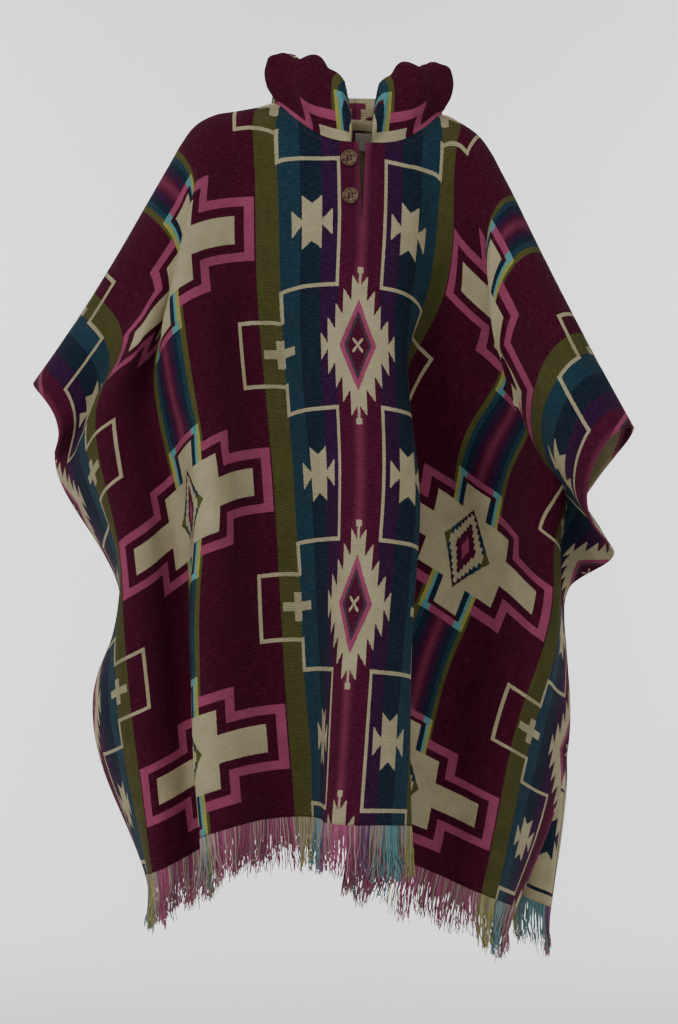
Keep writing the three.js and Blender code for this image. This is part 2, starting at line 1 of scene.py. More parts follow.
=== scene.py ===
# %% [markdown]
# A hooded blanket poncho, as it hangs on a wearer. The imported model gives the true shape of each
# piece, in facets. This script works out the same cloth form again, much finer, adds the creases,
# the woven pattern, the fringe yarns and the sewing, and lights it.

# %% Load the fixed frame
import math

import bpy
import numpy as np
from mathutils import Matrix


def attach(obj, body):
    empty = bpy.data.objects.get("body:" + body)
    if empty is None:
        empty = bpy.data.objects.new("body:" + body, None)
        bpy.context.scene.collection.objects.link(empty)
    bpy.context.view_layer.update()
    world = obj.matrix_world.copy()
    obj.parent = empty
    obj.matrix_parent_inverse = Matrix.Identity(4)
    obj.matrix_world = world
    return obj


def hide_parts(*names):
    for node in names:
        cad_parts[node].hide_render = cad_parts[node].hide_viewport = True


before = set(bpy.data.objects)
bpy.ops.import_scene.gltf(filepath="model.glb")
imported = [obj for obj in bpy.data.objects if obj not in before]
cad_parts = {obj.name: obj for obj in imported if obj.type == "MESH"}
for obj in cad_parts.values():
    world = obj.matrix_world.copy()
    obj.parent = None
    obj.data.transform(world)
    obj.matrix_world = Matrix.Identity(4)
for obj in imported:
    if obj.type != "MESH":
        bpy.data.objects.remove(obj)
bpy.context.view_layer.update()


def in_scene(name, data):
    thing = bpy.data.objects.new(name, data)
    bpy.context.scene.collection.objects.link(thing)
    return thing


# %% [markdown]
# The camera stands level in front of the poncho, three metres away, as the photograph's did. Its
# angle of view is set from the height of the picture at the shoulder line.

# %% Camera
CAMERA_DISTANCE = 3.0
PICTURE_HEIGHT = 1.2288  # metres at the shoulder line
PICTURE_CENTRE = (-0.0216, -0.4944)  # X and Z in the middle of the picture


def add_camera():
    data = bpy.data.cameras.new("camera")
    data.sensor_fit = "VERTICAL"
    data.angle_y = 2 * math.atan(PICTURE_HEIGHT / 2 / CAMERA_DISTANCE)
    camera = in_scene("camera", data)
    camera.location = (PICTURE_CENTRE[0], -CAMERA_DISTANCE, PICTURE_CENTRE[1])
    camera.rotation_euler = (math.pi / 2, 0, 0)
    bpy.context.scene.camera = camera


add_camera()

# %% [markdown]
# The flat cloth comes first. A poncho is two rectangles, so any place on it has a distance u from
# the centre line and a distance v down from the shoulder line. Sizes here are in millimetres, as a
# pattern cutter would write them, and turn into metres only when a mesh is made.

# %% Cut sizes in millimetres
MM = 0.001
HALF_WIDTH = 575.0
PANEL_LENGTH = 860.0
WALL = 2.4
NECK_HALF = 105.0
NECK_DROP = {"front": 60.0, "back": 30.0}
SLIT_END = 148.0
SLIT_OPEN = 8.0
SLIT_REACH = 26.0
NECK_COLUMNS = 4
SIDE_COLUMNS = 18
ROWS = {"front": 27, "back": 22}
ROW_CROWDING = 1.2
LEVELS = np.array([0, 153, 306, 459, 612, 860], float)
FACING = {"front": -1, "back": 1}

# %% [markdown]
# Each row of threads runs across the body in stretches. The table says where a stretch starts, at
# six heights, and which way it heads: 0 degrees is level with the shoulders, 90 goes straight in
# towards the wearer and more than 90 doubles back under the layer before it, which is a pleat.

# %% Fold tables
FRONT_FOLDS = {
    "left edge": ([-575] * 6, [-8, -45, -76, -88, -70, -84]),
    "left arm": ([-500] * 6, [-8, -50, -58, -84, -50, -80]),
    "left arm inner": ([-415] * 6, [-8, 56, 74, 67, 62, 72]),
    "left hollow": ([-335, -338, -340, -343, -346, -350], [0, -54, -64, -74, -96, -98]),
    "left layer": ([-245] * 6, [0, 38, 54, 60, 38, 31]),
    "mid left": ([-145, -144, -143, -141, -140, -138], [-22, -16, -33, -34, -38, -48]),
    "ridge left": ([-50, -57, -64, -71, -78, -90], [-15, -10, -35, -50, -66, -86]),
    "ridge right": ([0] * 6, [15, 14, 35, 25, 45, 45]),
    "pleat under": ([45, 60, 76, 91, 106, 131], [20, 25, 118, 140, 150, 150]),
    "pleat return": ([70, 101, 132, 163, 195, 245], [28, 5, 20, 15, 10, 5]),
    "right layer": ([130, 130, 200, 236, 272, 330], [-26, -36, 30, 42, 48, 40]),
    "right armpit": ([235, 235, 290, 325, 365, 390], [-42, -36, -62, -58, -44, -70]),
    "right crease": ([287, 287, 430, 430, 430, 440], [-42, 85, 86, 82, 52, 70]),
    "right arm": ([400, 400, 530, 575, 575, 575], [-42, -50, 60, 82, 52, 70]),
    "right edge": ([514, 514, 575, 575, 575, 575], [-42, 45, 60, 82, 52, 70]),
}
BACK_FOLDS = {
    "left edge": ([-575] * 6, [12, -50, -80, -86, -82, -84]),
    "left arm": ([-490] * 6, [12, 60, 74, 78, 72, 80]),
    "left crease": ([-400, -398, -396, -395, -393, -390], [8, -62, -78, -84, -84, -88]),
    "left layer": ([-300, -302, -304, -305, -307, -310], [0, 54, 68, 72, 66, 76]),
    "left blade": ([-190, -192, -194, -195, -197, -200], [0, -46, -54, -58, -66, -78]),
    "middle left": ([-95, -98, -100, -103, -106, -110], [-22, -18, 34, 45, 52, 62]),
    "middle": ([-20, -22, -24, -25, -27, -30], [-8, -8, -30, -50, -58, -66]),
    "middle right": ([50, 52, 54, 55, 57, 60], [24, 20, 56, 58, 58, 68]),
    "right blade": ([130, 134, 137, 141, 144, 150], [24, -40, -76, -80, -76, -82]),
    "right layer": ([215, 219, 224, 228, 233, 240], [36, 72, 84, 86, 80, 84]),
    "right crease": ([320, 324, 327, 331, 334, 340], [42, -70, -88, -92, -86, -88]),
    "right arm": ([420, 422, 424, 425, 427, 430], [42, 80, 88, 90, 82, 88]),
    "right edge": ([480, 462, 462, 475, 490, 505], [42, -70, -84, -80, -70, -80]),
}
CENTRE_LINE = {
    "front": {"depth": [48, 72, 112, 148, 180, 195], "lean": [4, 7, -1, 3, -6, -24]},
    "back": {"depth": [50, 92, 124, 138, 146, 150], "lean": [0, 0, 2, 4, 4, 6]},
}
FOLDS = {"front": FRONT_FOLDS, "back": BACK_FOLDS}
SHOULDER_U = [-575, -340, -230, -175, -20, 20, 110, 185, 575]
SHOULDER_FALL = [53, 60, 60, 9, 3, 10, 15, 61, 56]
FALL_KEPT_LEFT = [1, 0.7, 0.5, 0.43, 0.37, 0.21]
FALL_KEPT_RIGHT = [1, 0.86, 0.57, 0.46, 0.48, 0.22]
# How much nearer the centre line the fall begins on the right, from FALL_BLEND outward in full.
FALL_EARLY = [0, 80, 30, 0, 0, 0]
FALL_BLEND = 60
FOLD_ROUNDING = 30.0

# %% [markdown]
# A few small helpers carry the whole form: a smooth step, measures of a line, and a smooth curve
# through a few values, which is a cubic with each slope taken from the two neighbours of a point.

# %% Curve helpers
def smoothstep(x, low, high):
    t = np.clip((np.asarray(x, float) - low) / (high - low), 0, 1)
    return t * t * (3 - 2 * t)


def curve_through(knots, values, at):
    """Smooth values at each place in at, which runs along the first axis of values."""
    knots = np.asarray(knots, float)
    values = np.asarray(values, float)
    at = np.atleast_1d(np.asarray(at, float))
    last = len(knots) - 1
    k = np.clip(np.searchsorted(knots, at, side="right") - 1, 0, last - 1)
    lo, hi = np.maximum(np.arange(last + 1) - 1, 0), np.minimum(np.arange(last + 1) + 1, last)
    shape = (-1,) + (1,) * (values.ndim - 1)
    slope = (values[hi] - values[lo]) / (knots[hi] - knots[lo]).reshape(shape)
    span = (knots[k + 1] - knots[k]).reshape(shape)
    t = (at - knots[k]).reshape(shape) / span
    t2, t3 = t * t, t * t * t
    result = (2 * t3 - 3 * t2 + 1) * values[k] + (t3 - 2 * t2 + t) * slope[k] * span
    return result + (3 * t2 - 2 * t3) * values[k + 1] + (t3 - t2) * slope[k + 1] * span


def at_level(values, v):
    return float(curve_through(LEVELS, values, v)[0])


def unit(vectors):
    return vectors / np.maximum(np.linalg.norm(vectors, axis=-1, keepdims=True), 1e-12)


def along_line(at, knots, points):
    """The points of a line at some places, straight between its own points."""
    return np.stack([np.interp(at, knots, column) for column in points.T], axis=-1)


def running_length(points):
    """Length from the first point of a line, or the first row of a grid, to each further one."""
    steps = np.linalg.norm(np.diff(points, axis=0), axis=-1)
    return np.concatenate([np.zeros_like(steps[:1]), np.cumsum(steps, axis=0)])


def beside_line(x, y, start, end):
    """How far along a line each place is, as a share of it, and how far beside it."""
    (x0, y0), (x1, y1) = start, end
    dx, dy = x1 - x0, y1 - y0
    along = ((x - x0) * dx + (y - y0) * dy) / (dx * dx + dy * dy)
    return along, ((x - x0) * dy - (y - y0) * dx) / math.hypot(dx, dy)


# %% [markdown]
# One row of cloth: start on the centre line and walk out to both sides, a small step of cloth at a
# time, turning where the table says. The walk keeps every thread at its cut length.

# %% A row across the cloth
ROW_STEP = 2.5
CENTRE_STEPS = 61
WALK = np.arange(0, HALF_WIDTH + ROW_STEP / 2, ROW_STEP)


def heading(folds, u, v):
    rows = list(folds.values())
    degrees = np.full(u.shape, at_level(rows[0][1], v))
    for before, here in zip(rows, rows[1:]):
        turn = at_level(here[1], v) - at_level(before[1], v)
        place = at_level(here[0], v)
        degrees += turn * smoothstep((u - place) / FOLD_ROUNDING, -1, 1)
    return np.radians(degrees)


def fall(u, v):
    kept = at_level(FALL_KEPT_LEFT if u[-1] < 0 else FALL_KEPT_RIGHT, v)
    early = at_level(FALL_EARLY, v) * smoothstep(u, 0, FALL_BLEND)
    return np.radians(np.interp(u + early, SHOULDER_U, SHOULDER_FALL) * kept)


def centre_point(centre, v):
    steps = np.linspace(0, v, CENTRE_STEPS)
    depth = curve_through(LEVELS, centre["depth"], steps)
    lean = curve_through(LEVELS, centre["lean"], steps)
    down = np.diff(steps) ** 2 - np.diff(depth) ** 2 - np.diff(lean) ** 2
    return np.array([lean[-1], -depth[-1], -np.sqrt(np.maximum(down, 0)).sum()])


def row_of_cloth(side, v, u):
    """Places along the row at v, for each u; the back is still read as seen from behind."""
    start = centre_point(CENTRE_LINE[side], v)
    points = np.empty((len(u), 3))
    for sign in (1, -1):
        way = sign * WALK
        turn, down = heading(FOLDS[side], way, v), fall(way, v)
        level = np.cos(down)
        drop = -np.sin(down) * sign
        step = np.stack([level * np.cos(turn), level * np.sin(turn), drop], axis=1)
        step[0, 2] = 0
        path = np.cumsum(sign * ROW_STEP * 0.5 * (step[1:] + step[:-1]), axis=0)
        path = np.vstack([start, start + path])
        pick = (u >= 0) if sign > 0 else (u < 0)
        points[pick] = along_line(np.abs(u[pick]), WALK, path)
    return points


# %% [markdown]
# Over the shoulders and arms the cloth lies on something round. There the first form is cloth laid
# square over a round along the shoulder line, which then hangs straight on. The two forms are
# blended: near the ridge the rolled one, lower down the rows from the table.

# %% Cloth rolled over the shoulders and arms
ROLL_RADIUS = 46.0
ROLL_REACH = 2  # half the stretch of shoulder line that gives its direction
ROLL_ANGLE = math.radians(80)
ROLL_FROM = (60, 130)
ROLL_SHOULDER = (20.0, 120.0)
ROLL_ARM = (20.0, 255.0)
ROLL_ARM_START = (205, 330)


def shoulder_row(u):
    return row_of_cloth("front", 0.0, u)


def rolled(u, v, facing):
    side = np.minimum(np.abs(u), HALF_WIDTH - ROLL_REACH) * np.sign(u)
    along = unit(shoulder_row(side + ROLL_REACH) - shoulder_row(side - ROLL_REACH))
    out = unit(np.array([0.0, facing, 0.0]) - facing * along[:, 1:2] * along)
    down = np.cross(along, out)
    down *= np.where(down[:, 2:3] > 0, -1, 1)
    angle = np.minimum(v / ROLL_RADIUS, ROLL_ANGLE)[:, None]
    rest = v[:, None] - angle * ROLL_RADIUS
    outward = ROLL_RADIUS * np.sin(angle) + rest * np.cos(angle)
    downward = ROLL_RADIUS * (1 - np.cos(angle)) + rest * np.sin(angle)
    return shoulder_row(u) + out * outward + down * downward


def rolled_share(u, v):
    arm = smoothstep(np.abs(u), *ROLL_ARM_START)
    low, high = (a + (b - a) * arm for a, b in zip(ROLL_SHOULDER, ROLL_ARM))
    return smoothstep(np.abs(u), *ROLL_FROM) * (1 - smoothstep(v, low, high))


# %% [markdown]
# Last, the threads slip back to their cut length. Each turn pulls every thread and diagonal towards
# its flat length, smooths wrinkles that are only a column wide and pulls gently back to the first
# form, so that the folds stay.

# %% Easing the threads
EASE_TURNS = 120
EASE_STEP = 1.5
SHEAR = 0.35
HOLD = np.array([0.1, 0.02, 0.03])
ROLL_HOLD = 0.14
BEND_ACROSS = 0.02
CRUMPLE = 0.12
BEND_DOWN = 0.25


def links_of(flat):
    rows, columns = flat.shape[:2]
    number = np.arange(rows * columns).reshape(rows, columns)
    pairs = [
        (number[:, :-1], number[:, 1:], 1.0),
        (number[:-1], number[1:], 1.0),
        (number[:-1, :-1], number[1:, 1:], SHEAR),
        (number[:-1, 1:], number[1:, :-1], SHEAR),
    ]
    a = np.concatenate([first.ravel() for first, _, _ in pairs])
    b = np.concatenate([second.ravel() for _, second, _ in pairs])
    weight = np.concatenate([np.full(first.size, w) for first, _, w in pairs])
    places = flat.reshape(-1, 2)
    return a, b, weight, np.linalg.norm(places[a] - places[b], axis=1)


def ease(points, flat):
    a, b, weight, rest = links_of(flat)
    held = points.reshape(-1, 3).copy()
    now = held.copy()
    count = np.bincount(a, weight, len(now)) + np.bincount(b, weight, len(now))
    roll = (ROLL_HOLD * rolled_share(flat[..., 0].ravel(), flat[..., 1].ravel()))[:, None]
    for _ in range(EASE_TURNS):
        gap = now[b] - now[a]
        length = np.linalg.norm(gap, axis=1)
        pull = gap * (0.5 * weight * (length - rest) / np.maximum(length, 1e-9))[:, None]
        push = np.empty_like(now)
        for axis in range(3):
            push[:, axis] = np.bincount(a, pull[:, axis], len(now))
            push[:, axis] -= np.bincount(b, pull[:, axis], len(now))
        moved = (now + EASE_STEP * push / count[:, None]).reshape(points.shape)
        bend = np.zeros_like(moved)
        bend[:, 1:-1] = (moved[:, :-2] + moved[:, 2:]) / 2 - moved[:, 1:-1]
        value = moved.copy()
        value[1:-1] += BEND_DOWN * ((moved[:-2] + moved[2:]) / 2 - moved[1:-1])
        around = (bend[:, :-2] + bend[:, 2:]) / 2 - bend[:, 1:-1]
        value[:, 1:-1] += BEND_ACROSS * bend[:, 1:-1] - CRUMPLE * around
        value = value.reshape(-1, 3)
        value += (HOLD + roll) * (held - value)
        now = value
        now[: points.shape[1]] = held[: points.shape[1]]
    return now.reshape(points.shape)


# %% The coarse form of both panels
NECK_U = NECK_HALF * np.arange(1, NECK_COLUMNS + 1) / NECK_COLUMNS
SIDE_U = NECK_HALF + (HALF_WIDTH - NECK_HALF) * np.arange(1, SIDE_COLUMNS + 1) / SIDE_COLUMNS
HALF_COLUMNS = np.concatenate([NECK_U, SIDE_U])
COLUMNS = np.concatenate([-HALF_COLUMNS[::-1], [0.0], HALF_COLUMNS])


def down_the_cloth(side, u, t):
    """v of each column u at each share t of the way from the neckline or shoulder to the hem."""
    top = NECK_DROP[side] * np.maximum(0, 1 - (u / NECK_HALF) ** 2)
    return top[None, :] + (PANEL_LENGTH - top)[None, :] * (t[:, None] ** ROW_CROWDING)


def coarse_panel(side):
    facing = FACING[side]
    t = np.linspace(0, 1, ROWS[side] + 1)
    v = down_the_cloth(side, COLUMNS, t)
    u = np.broadcast_to(COLUMNS, v.shape)
    points = np.empty(v.shape + (3,))
    for level in np.unique(np.round(v, 6)):
        here = np.abs(v - level) < 1e-5
        points[here] = row_of_cloth(side, level, u[here])
    points[..., 1] *= -facing
    share = rolled_share(u.ravel(), v.ravel())[:, None]
    flat_points = points.reshape(-1, 3)
    laid = rolled(u.ravel(), v.ravel(), facing)
    points = (flat_points + (laid - flat_points) * share).reshape(points.shape)
    ends = np.abs(COLUMNS) >= NECK_HALF
    points[0, ends] = shoulder_row(COLUMNS[ends])
    return ease(points, np.stack([u, v], axis=2))


coarse = {side: coarse_panel(side) for side in FACING}
for side, grid in coarse.items():
    low, high = grid.min(axis=(0, 1)).round(1), grid.max(axis=(0, 1)).round(1)
    print(side, "grid", grid.shape, "box", low, high)

# %% [markdown]
# The coarse form is right but has a point only every 26 mm. A finer grid is read off along smooth
# curves, first down the columns and then across. At 5 mm it can carry creases, which the facets
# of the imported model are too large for.

# %% The fine form
FINE_STEP = 5.0
FINE_ROWS = 165
FINE_U = np.arange(-HALF_WIDTH, HALF_WIDTH + FINE_STEP / 2, FINE_STEP)
FINE_T = np.linspace(0, 1, FINE_ROWS + 1)
MIDDLE = len(FINE_U) // 2


def fine_panel(side):
    grid = coarse[side]
    knots = np.linspace(0, 1, ROWS[side] + 1)
    down = curve_through(knots, grid, FINE_T)
    across = curve_through(COLUMNS, down.transpose(1, 0, 2), FINE_U).transpose(1, 0, 2)
    v = down_the_cloth(side, FINE_U, FINE_T)
    return across, np.broadcast_to(FINE_U, v.shape), v


def surface_normals(points, sign):
    return sign * unit(np.cross(np.gradient(points, axis=0), np.gradient(points, axis=1)))


# %% [markdown]
# Heavy blanket cloth does not wrinkle finely. It makes long soft troughs that start at a shoulder,
# an elbow or the edge of a pleat and die away. Each one here is a line on the flat cloth with its
# own depth and width. A few slow waves keep the rest from looking ironed.

# %% Creases
CREASE_BOW = 0.06  # how far a crease bows, as a share of its length
# From (u, v), to (u, v), depth, half width, in millimetres: a plus depth is a ridge.
CREASES = {
    "front": [
        ((-120, 70), (-128, 430), -5.0, 24), ((-178, 60), (-210, 330), 4.0, 26),
        ((-70, 230), (-110, 560), 3.0, 20), ((-235, 40), (-300, 200), -4.5, 18),
        ((-330, 60), (-300, 300), 4.0, 22), ((-430, 60), (-380, 280), -4.0, 22),
        ((-500, 90), (-420, 420), 3.5, 24), ((-540, 200), (-470, 560), -3.0, 22),
        ((-300, 330), (-180, 470), -4.0, 20), ((-260, 420), (-200, 640), 3.0, 22),
        ((-60, 600), (-120, 850), -4.0, 24), ((20, 150), (8, 330), -2.2, 16),
        ((10, 330), (-10, 560), 2.5, 18), ((90, 60), (70, 240), -3.5, 16),
        ((150, 50), (150, 230), 3.5, 20), ((205, 60), (200, 300), -3.5, 20),
        ((250, 240), (230, 460), 3.0, 20), ((300, 300), (285, 560), -4.0, 22),
        ((330, 60), (410, 210), -4.0, 20), ((400, 30), (500, 170), 3.0, 20),
        ((470, 120), (560, 330), -3.0, 22), ((350, 560), (300, 840), -4.0, 24),
        ((260, 600), (250, 850), 3.0, 20), ((190, 520), (170, 850), -3.5, 22),
        ((-10, 640), (30, 850), 3.0, 22), ((480, 400), (520, 700), -3.0, 26),
        ((-380, 480), (-330, 800), 3.0, 24), ((-500, 500), (-520, 800), -3.0, 26),
    ],
    "back": [
        ((-60, 50), (-80, 360), -4.0, 24), ((60, 60), (50, 420), -3.5, 26),
        ((0, 120), (-10, 520), 3.0, 26), ((-190, 60), (-230, 380), -4.0, 22),
        ((180, 60), (220, 360), -4.0, 22), ((-300, 60), (-340, 320), 3.5, 22),
        ((300, 60), (350, 300), 3.5, 22), ((-420, 90), (-380, 420), -3.5, 22),
        ((430, 80), (400, 380), -3.5, 22), ((-120, 420), (-160, 850), -4.0, 24),
        ((110, 460), (130, 850), -4.0, 24), ((-260, 480), (-260, 850), 3.0, 24),
        ((250, 500), (240, 850), 3.0, 24), ((-480, 480), (-500, 820), -3.0, 26),
        ((450, 480), (470, 820), -3.0, 26), ((-20, 560), (10, 850), 3.5, 26),
    ],
}
# Slow waves: how many to a metre across and down, the height in millimetres, and a shift.
WAVES = [(3.1, 1.3, 0.9, 0.4), (5.3, 2.1, 0.6, 2.1), (8.7, 3.7, 0.4, 4.4), (2.3, 6.1, 0.35, 1.2)]


def crease_height(u, v, creases):
    height = np.zeros(u.shape)
    for start, end, depth, width in creases:
        along, beside = beside_line(u, v, start, end)
        beside -= CREASE_BOW * math.dist(start, end) * np.sin(np.pi * np.clip(along, 0, 1))
        fade = smoothstep(along, -0.1, 0.3) * (1 - smoothstep(along, 0.6, 1.1))
        height += depth * fade * np.exp(-((beside / width) ** 2))
    for across, down, size, shift in WAVES:
        wave = 2 * math.pi * 0.001 * (u * across + v * down)
        height += size * np.sin(wave + shift + 0.8 * np.sin(0.011 * v + shift))
    return height


def creased_panel(side):
    points, u, v = fine_panel(side)
    normals = surface_normals(points, -FACING[side])
    settle = smoothstep(v, 4, 60)  # the shoulder line and neckline stay where the model has them
    height = crease_height(u, v, CREASES[side]) * settle
    points = points + normals * height[..., None]
    normals = surface_normals(points, -FACING[side])
    return {"points": points, "u": u, "v": v, "normals": normals}


panels = {side: creased_panel(side) for side in FACING}


# %% [markdown]
# The slit is cut on the centre line and gapes a little at the neckline. The points of the centre
# column go to the left edge, and a second set of them becomes the right edge.

# %% The front slit
def open_slit(panel):
    share = np.maximum(0, (SLIT_END - panel["v"]) / (SLIT_END - NECK_DROP["front"]))
    push = 0.5 * SLIT_OPEN * share * np.exp(-np.abs(panel["u"]) / SLIT_REACH)
    centre = panel["v"][:, MIDDLE] < SLIT_END
    right = panel["points"][centre, MIDDLE].copy()
    right[:, 0] += push[centre, MIDDLE]
    panel["points"][..., 0] += np.where(panel["u"] > 0, push, -push)
    panel["right_edge"] = right


open_slit(panels["front"])

# %% One edge along the shoulder line
ON_SHOULDER = np.abs(FINE_U) >= NECK_HALF
shared = unit(sum(sheet["normals"][0, ON_SHOULDER] for sheet in panels.values()))
for sheet in panels.values():
    sheet["normals"][0, ON_SHOULDER] = shared


# %% [markdown]
# Every sheet becomes a closed wall: the grid moved out, the grid moved in, and a strip round the
# edge. Each point keeps its place on the flat cloth in an attribute called flat, in metres, which
# the woven pattern reads, so the pattern bends with every fold.

# %% Walls of cloth
def grid_quads(rows, columns, turned):
    number = np.arange(rows * columns).reshape(rows, columns)
    quads = np.stack([number[:-1, :-1], number[1:, :-1], number[1:, 1:], number[:-1, 1:]], axis=-1)
    quads = quads.reshape(-1, 4)
    return quads[:, ::-1] if turned else quads


def keep_vectors(mesh, name, values):
    attribute = mesh.attributes.new(name, "FLOAT_VECTOR", "POINT")
    attribute.data.foreach_set("vector", np.ascontiguousarray(values, dtype=float).ravel())


def wall_mesh(name, points, normals, quads, flat, materials, thickness=WALL):
    """A closed wall round a sheet; materials are for the face, the reverse and the cut edge."""
    count = len(points)
    outer, inner = points + normals * thickness / 2, points - normals * thickness / 2
    edges = {(a, b) for quad in quads.tolist() for a, b in zip(quad, quad[1:] + quad[:1])}
    rim = [(a, a + count, b + count, b) for a, b in edges if (b, a) not in edges]
    inside = quads[:, ::-1] + count
    faces = quads.tolist() + inside.tolist() + rim
    mesh = bpy.data.meshes.new(name)
    mesh.from_pydata((np.vstack([outer, inner]) * MM).tolist(), [], faces)
    for material in materials:
        mesh.materials.append(material)
    kinds = np.repeat([0, 1, 2], [len(quads), len(quads), len(rim)]).astype(np.int32)
    mesh.polygons.foreach_set("material_index", kinds)
    mesh.polygons.foreach_set("use_smooth", kinds < 2)
    keep_vectors(mesh, "flat", np.pad(np.vstack([flat, flat]) * MM, ((0, 0), (0, 1))))
    mesh.validate()
    mesh.update()
    return in_scene(name, mesh)


def claim(piece, slot, *nodes):
    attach(piece, "root")
    if nodes:
        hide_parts(*nodes)
    print(piece.name, len(piece.data.polygons), "faces")


def panel_piece(side, materials):
    panel = panels[side]
    rows, columns = panel["u"].shape
    points = panel["points"].reshape(-1, 3)
    normals = panel["normals"].reshape(-1, 3)
    flat = np.stack([panel["u"].ravel(), panel["v"].ravel()], axis=1)
    quads = grid_quads(rows, columns, side == "back").copy()
    if "right_edge" in panel:
        extra = len(panel["right_edge"])
        old = np.arange(extra) * columns + MIDDLE
        beside = quads.reshape(rows - 1, columns - 1, 4)[:, MIDDLE]
        for k, number in enumerate(old):
            beside[beside == number] = len(points) + k
        points = np.vstack([points, panel["right_edge"]])
        normals = np.vstack([normals, normals[old]])
        flat = np.vstack([flat, flat[old]])
    return wall_mesh(f"{side}_cloth", points, normals, quads, flat, materials)


# %% [markdown]
# The pattern is a double cloth in stripes and stepped motifs. It is not drawn from a picture. Each
# motif is a few sums on u and v, in millimetres, that say whether a thread is inside it. The small
# helpers below write those sums as nodes, so that the chart further on reads like a list.

# %% Helpers for shader sums
def linear(hex_colour):
    parts = [int(hex_colour[k : k + 2], 16) / 255 for k in (1, 3, 5)]
    return [c / 12.92 if c < 0.04045 else ((c + 0.055) / 1.055) ** 2.4 for c in parts] + [1.0]


class Nodes:
    """Adds nodes to a tree; but for add, each call returns the socket with the result."""

    def __init__(self, tree):
        self.tree = tree

    def put(self, socket, value):
        if isinstance(value, bpy.types.NodeSocket):
            self.tree.links.new(value, socket)
        else:
            socket.default_value = value

    def add(self, kind, sockets=(), **settings):
        node = self.tree.nodes.new(kind)
        for label, value in settings.items():
            setattr(node, label, value)
        for label, value in dict(sockets).items():
            self.put(node.inputs[label], value)
        return node

    def out(self, kind, sockets=(), **settings):
        return self.add(kind, sockets, **settings).outputs[0]

    def do(self, operation, *values):
        return self.out("ShaderNodeMath", dict(enumerate(values)), operation=operation)

    def vector(self, operation, *values):
        return self.out("ShaderNodeVectorMath", dict(enumerate(values)), operation=operation)

    def scaled(self, vector, scale):
        return self.out("ShaderNodeVectorMath", {0: vector, "Scale": scale}, operation="SCALE")


class Sums(Nodes):
    """The sums that the chart and the materials are written in."""

    def less(self, a, b):
        return self.do("LESS_THAN", a, b)

    def both(self, a, b):
        return self.do("MULTIPLY", a, b)

    def either(self, a, b):
        return self.do("MAXIMUM", a, b)

    def away(self, a, centre):
        return self.do("ABSOLUTE", self.do("SUBTRACT", a, centre))

    def box(self, x, half_width, y, half_height):
        return self.both(self.less(x, half_width), self.less(y, half_height))

    def diamond(self, x, half_width, y, half_height):
        share = self.do("MULTIPLY_ADD", x, 1 / half_width, self.do("DIVIDE", y, half_height))
        return self.less(share, 1.0)

    def paint(self, below, mask, colour):
        sockets = {0: mask, 6: below, 7: colour}
        return self.add("ShaderNodeMix", sockets, data_type="RGBA").outputs[2]

    def stripes(self, x, widest, stops):
        """Plain bands of colour: stops are (where a band starts, colour)."""
        node = self.add("ShaderNodeValToRGB", {0: self.do("DIVIDE", x, widest)})
        node.color_ramp.interpolation = "CONSTANT"
        ramp = node.color_ramp.elements
        while len(ramp) < len(stops):
            ramp.new(0.5)
        for element, (start, colour) in zip(ramp, stops):
            element.position = start / widest
            element.color = colour
        return node.outputs[0]

    def named(self, label):
        return self.add("ShaderNodeAttribute", attribute_name=label).outputs

    def flat(self):
        """The place on the flat cloth: as one vector, and as its u and v."""
        vector = self.named("flat")["Vector"]
        apart = self.add("ShaderNodeSeparateXYZ", {0: vector}).outputs
        return vector, apart[0], apart[1]

    def noise(self, vector, scale, detail):
        sockets = {"Vector": vector, "Scale": scale, "Detail": detail}
        return self.add("ShaderNodeTexNoise", sockets).outputs["Fac"]

    def stretched(self, vector, scale):
        return self.vector("MULTIPLY", vector, scale)


def new_group(name, outputs, inputs=()):
    tree = bpy.data.node_groups.new(name, "ShaderNodeTree")
    for label, kind in inputs:
        tree.interface.new_socket(label, in_out="INPUT", socket_type=kind)
    for label, kind in outputs:
        tree.interface.new_socket(label, in_out="OUTPUT", socket_type=kind)
    return tree


def give(tree, results):
    out = tree.nodes.new("NodeGroupOutput")
    for label, socket in results.items():
        tree.links.new(socket, out.inputs[label])
    return tree


# %% The yarn colours
YARN = {
    "burgundy": linear("#470723"),
    "crimson": linear("#500D2E"),
    "pink": linear("#A34A6B"),
    "cream": linear("#BAB08C"),
    "teal": linear("#163F4D"),
    "navy": linear("#0A2839"),
    "purple": linear("#34113C"),
    "olive": linear("#56582B"),
    "yellow": linear("#A2A254"),
    "sky": linear("#5F9EA0"),
    "grey": linear("#4A3A44"),
}

# %% [markdown]
# The chart. Across the cloth, the stripes mirror at the centre line and again half way to the side
# edge. Down the cloth, motifs repeat every 306 mm. Rows of pluses and diamonds lie between rows of
# stars and large crosses. Each motif is painted over the last, largest first.

# %% The pattern chart
REPEAT = 306.0
CROSS_AXIS = HALF_WIDTH / 2
STAR_AXIS = 61.0
PLUS_AXIS = 107.0
LINE = 2.5  # half width of the cream outline
THREAD_WIDE, THREAD_HIGH = 1.0, 1.2  # the pattern steps by whole threads of this size
DIAMOND_STEP = 6.5
GLOW = 9.0  # how far the pink glow at each mirror line reaches
TEETH = {"width": 9.6, "highest": 87.0, "lower_by": 17.2, "slope": 15.0}


def ground_stripes(s, p):
    y = YARN
    return s.stripes(p, CROSS_AXIS, [
        (0, y["crimson"]), (25, y["purple"]), (48, y["navy"]), (75, y["teal"]), (102, y["olive"]),
        (131, y["burgundy"]), (245, y["olive"]), (253, y["teal"]), (260, y["navy"]),
        (267.5, y["purple"]), (275.5, y["crimson"]),
    ])


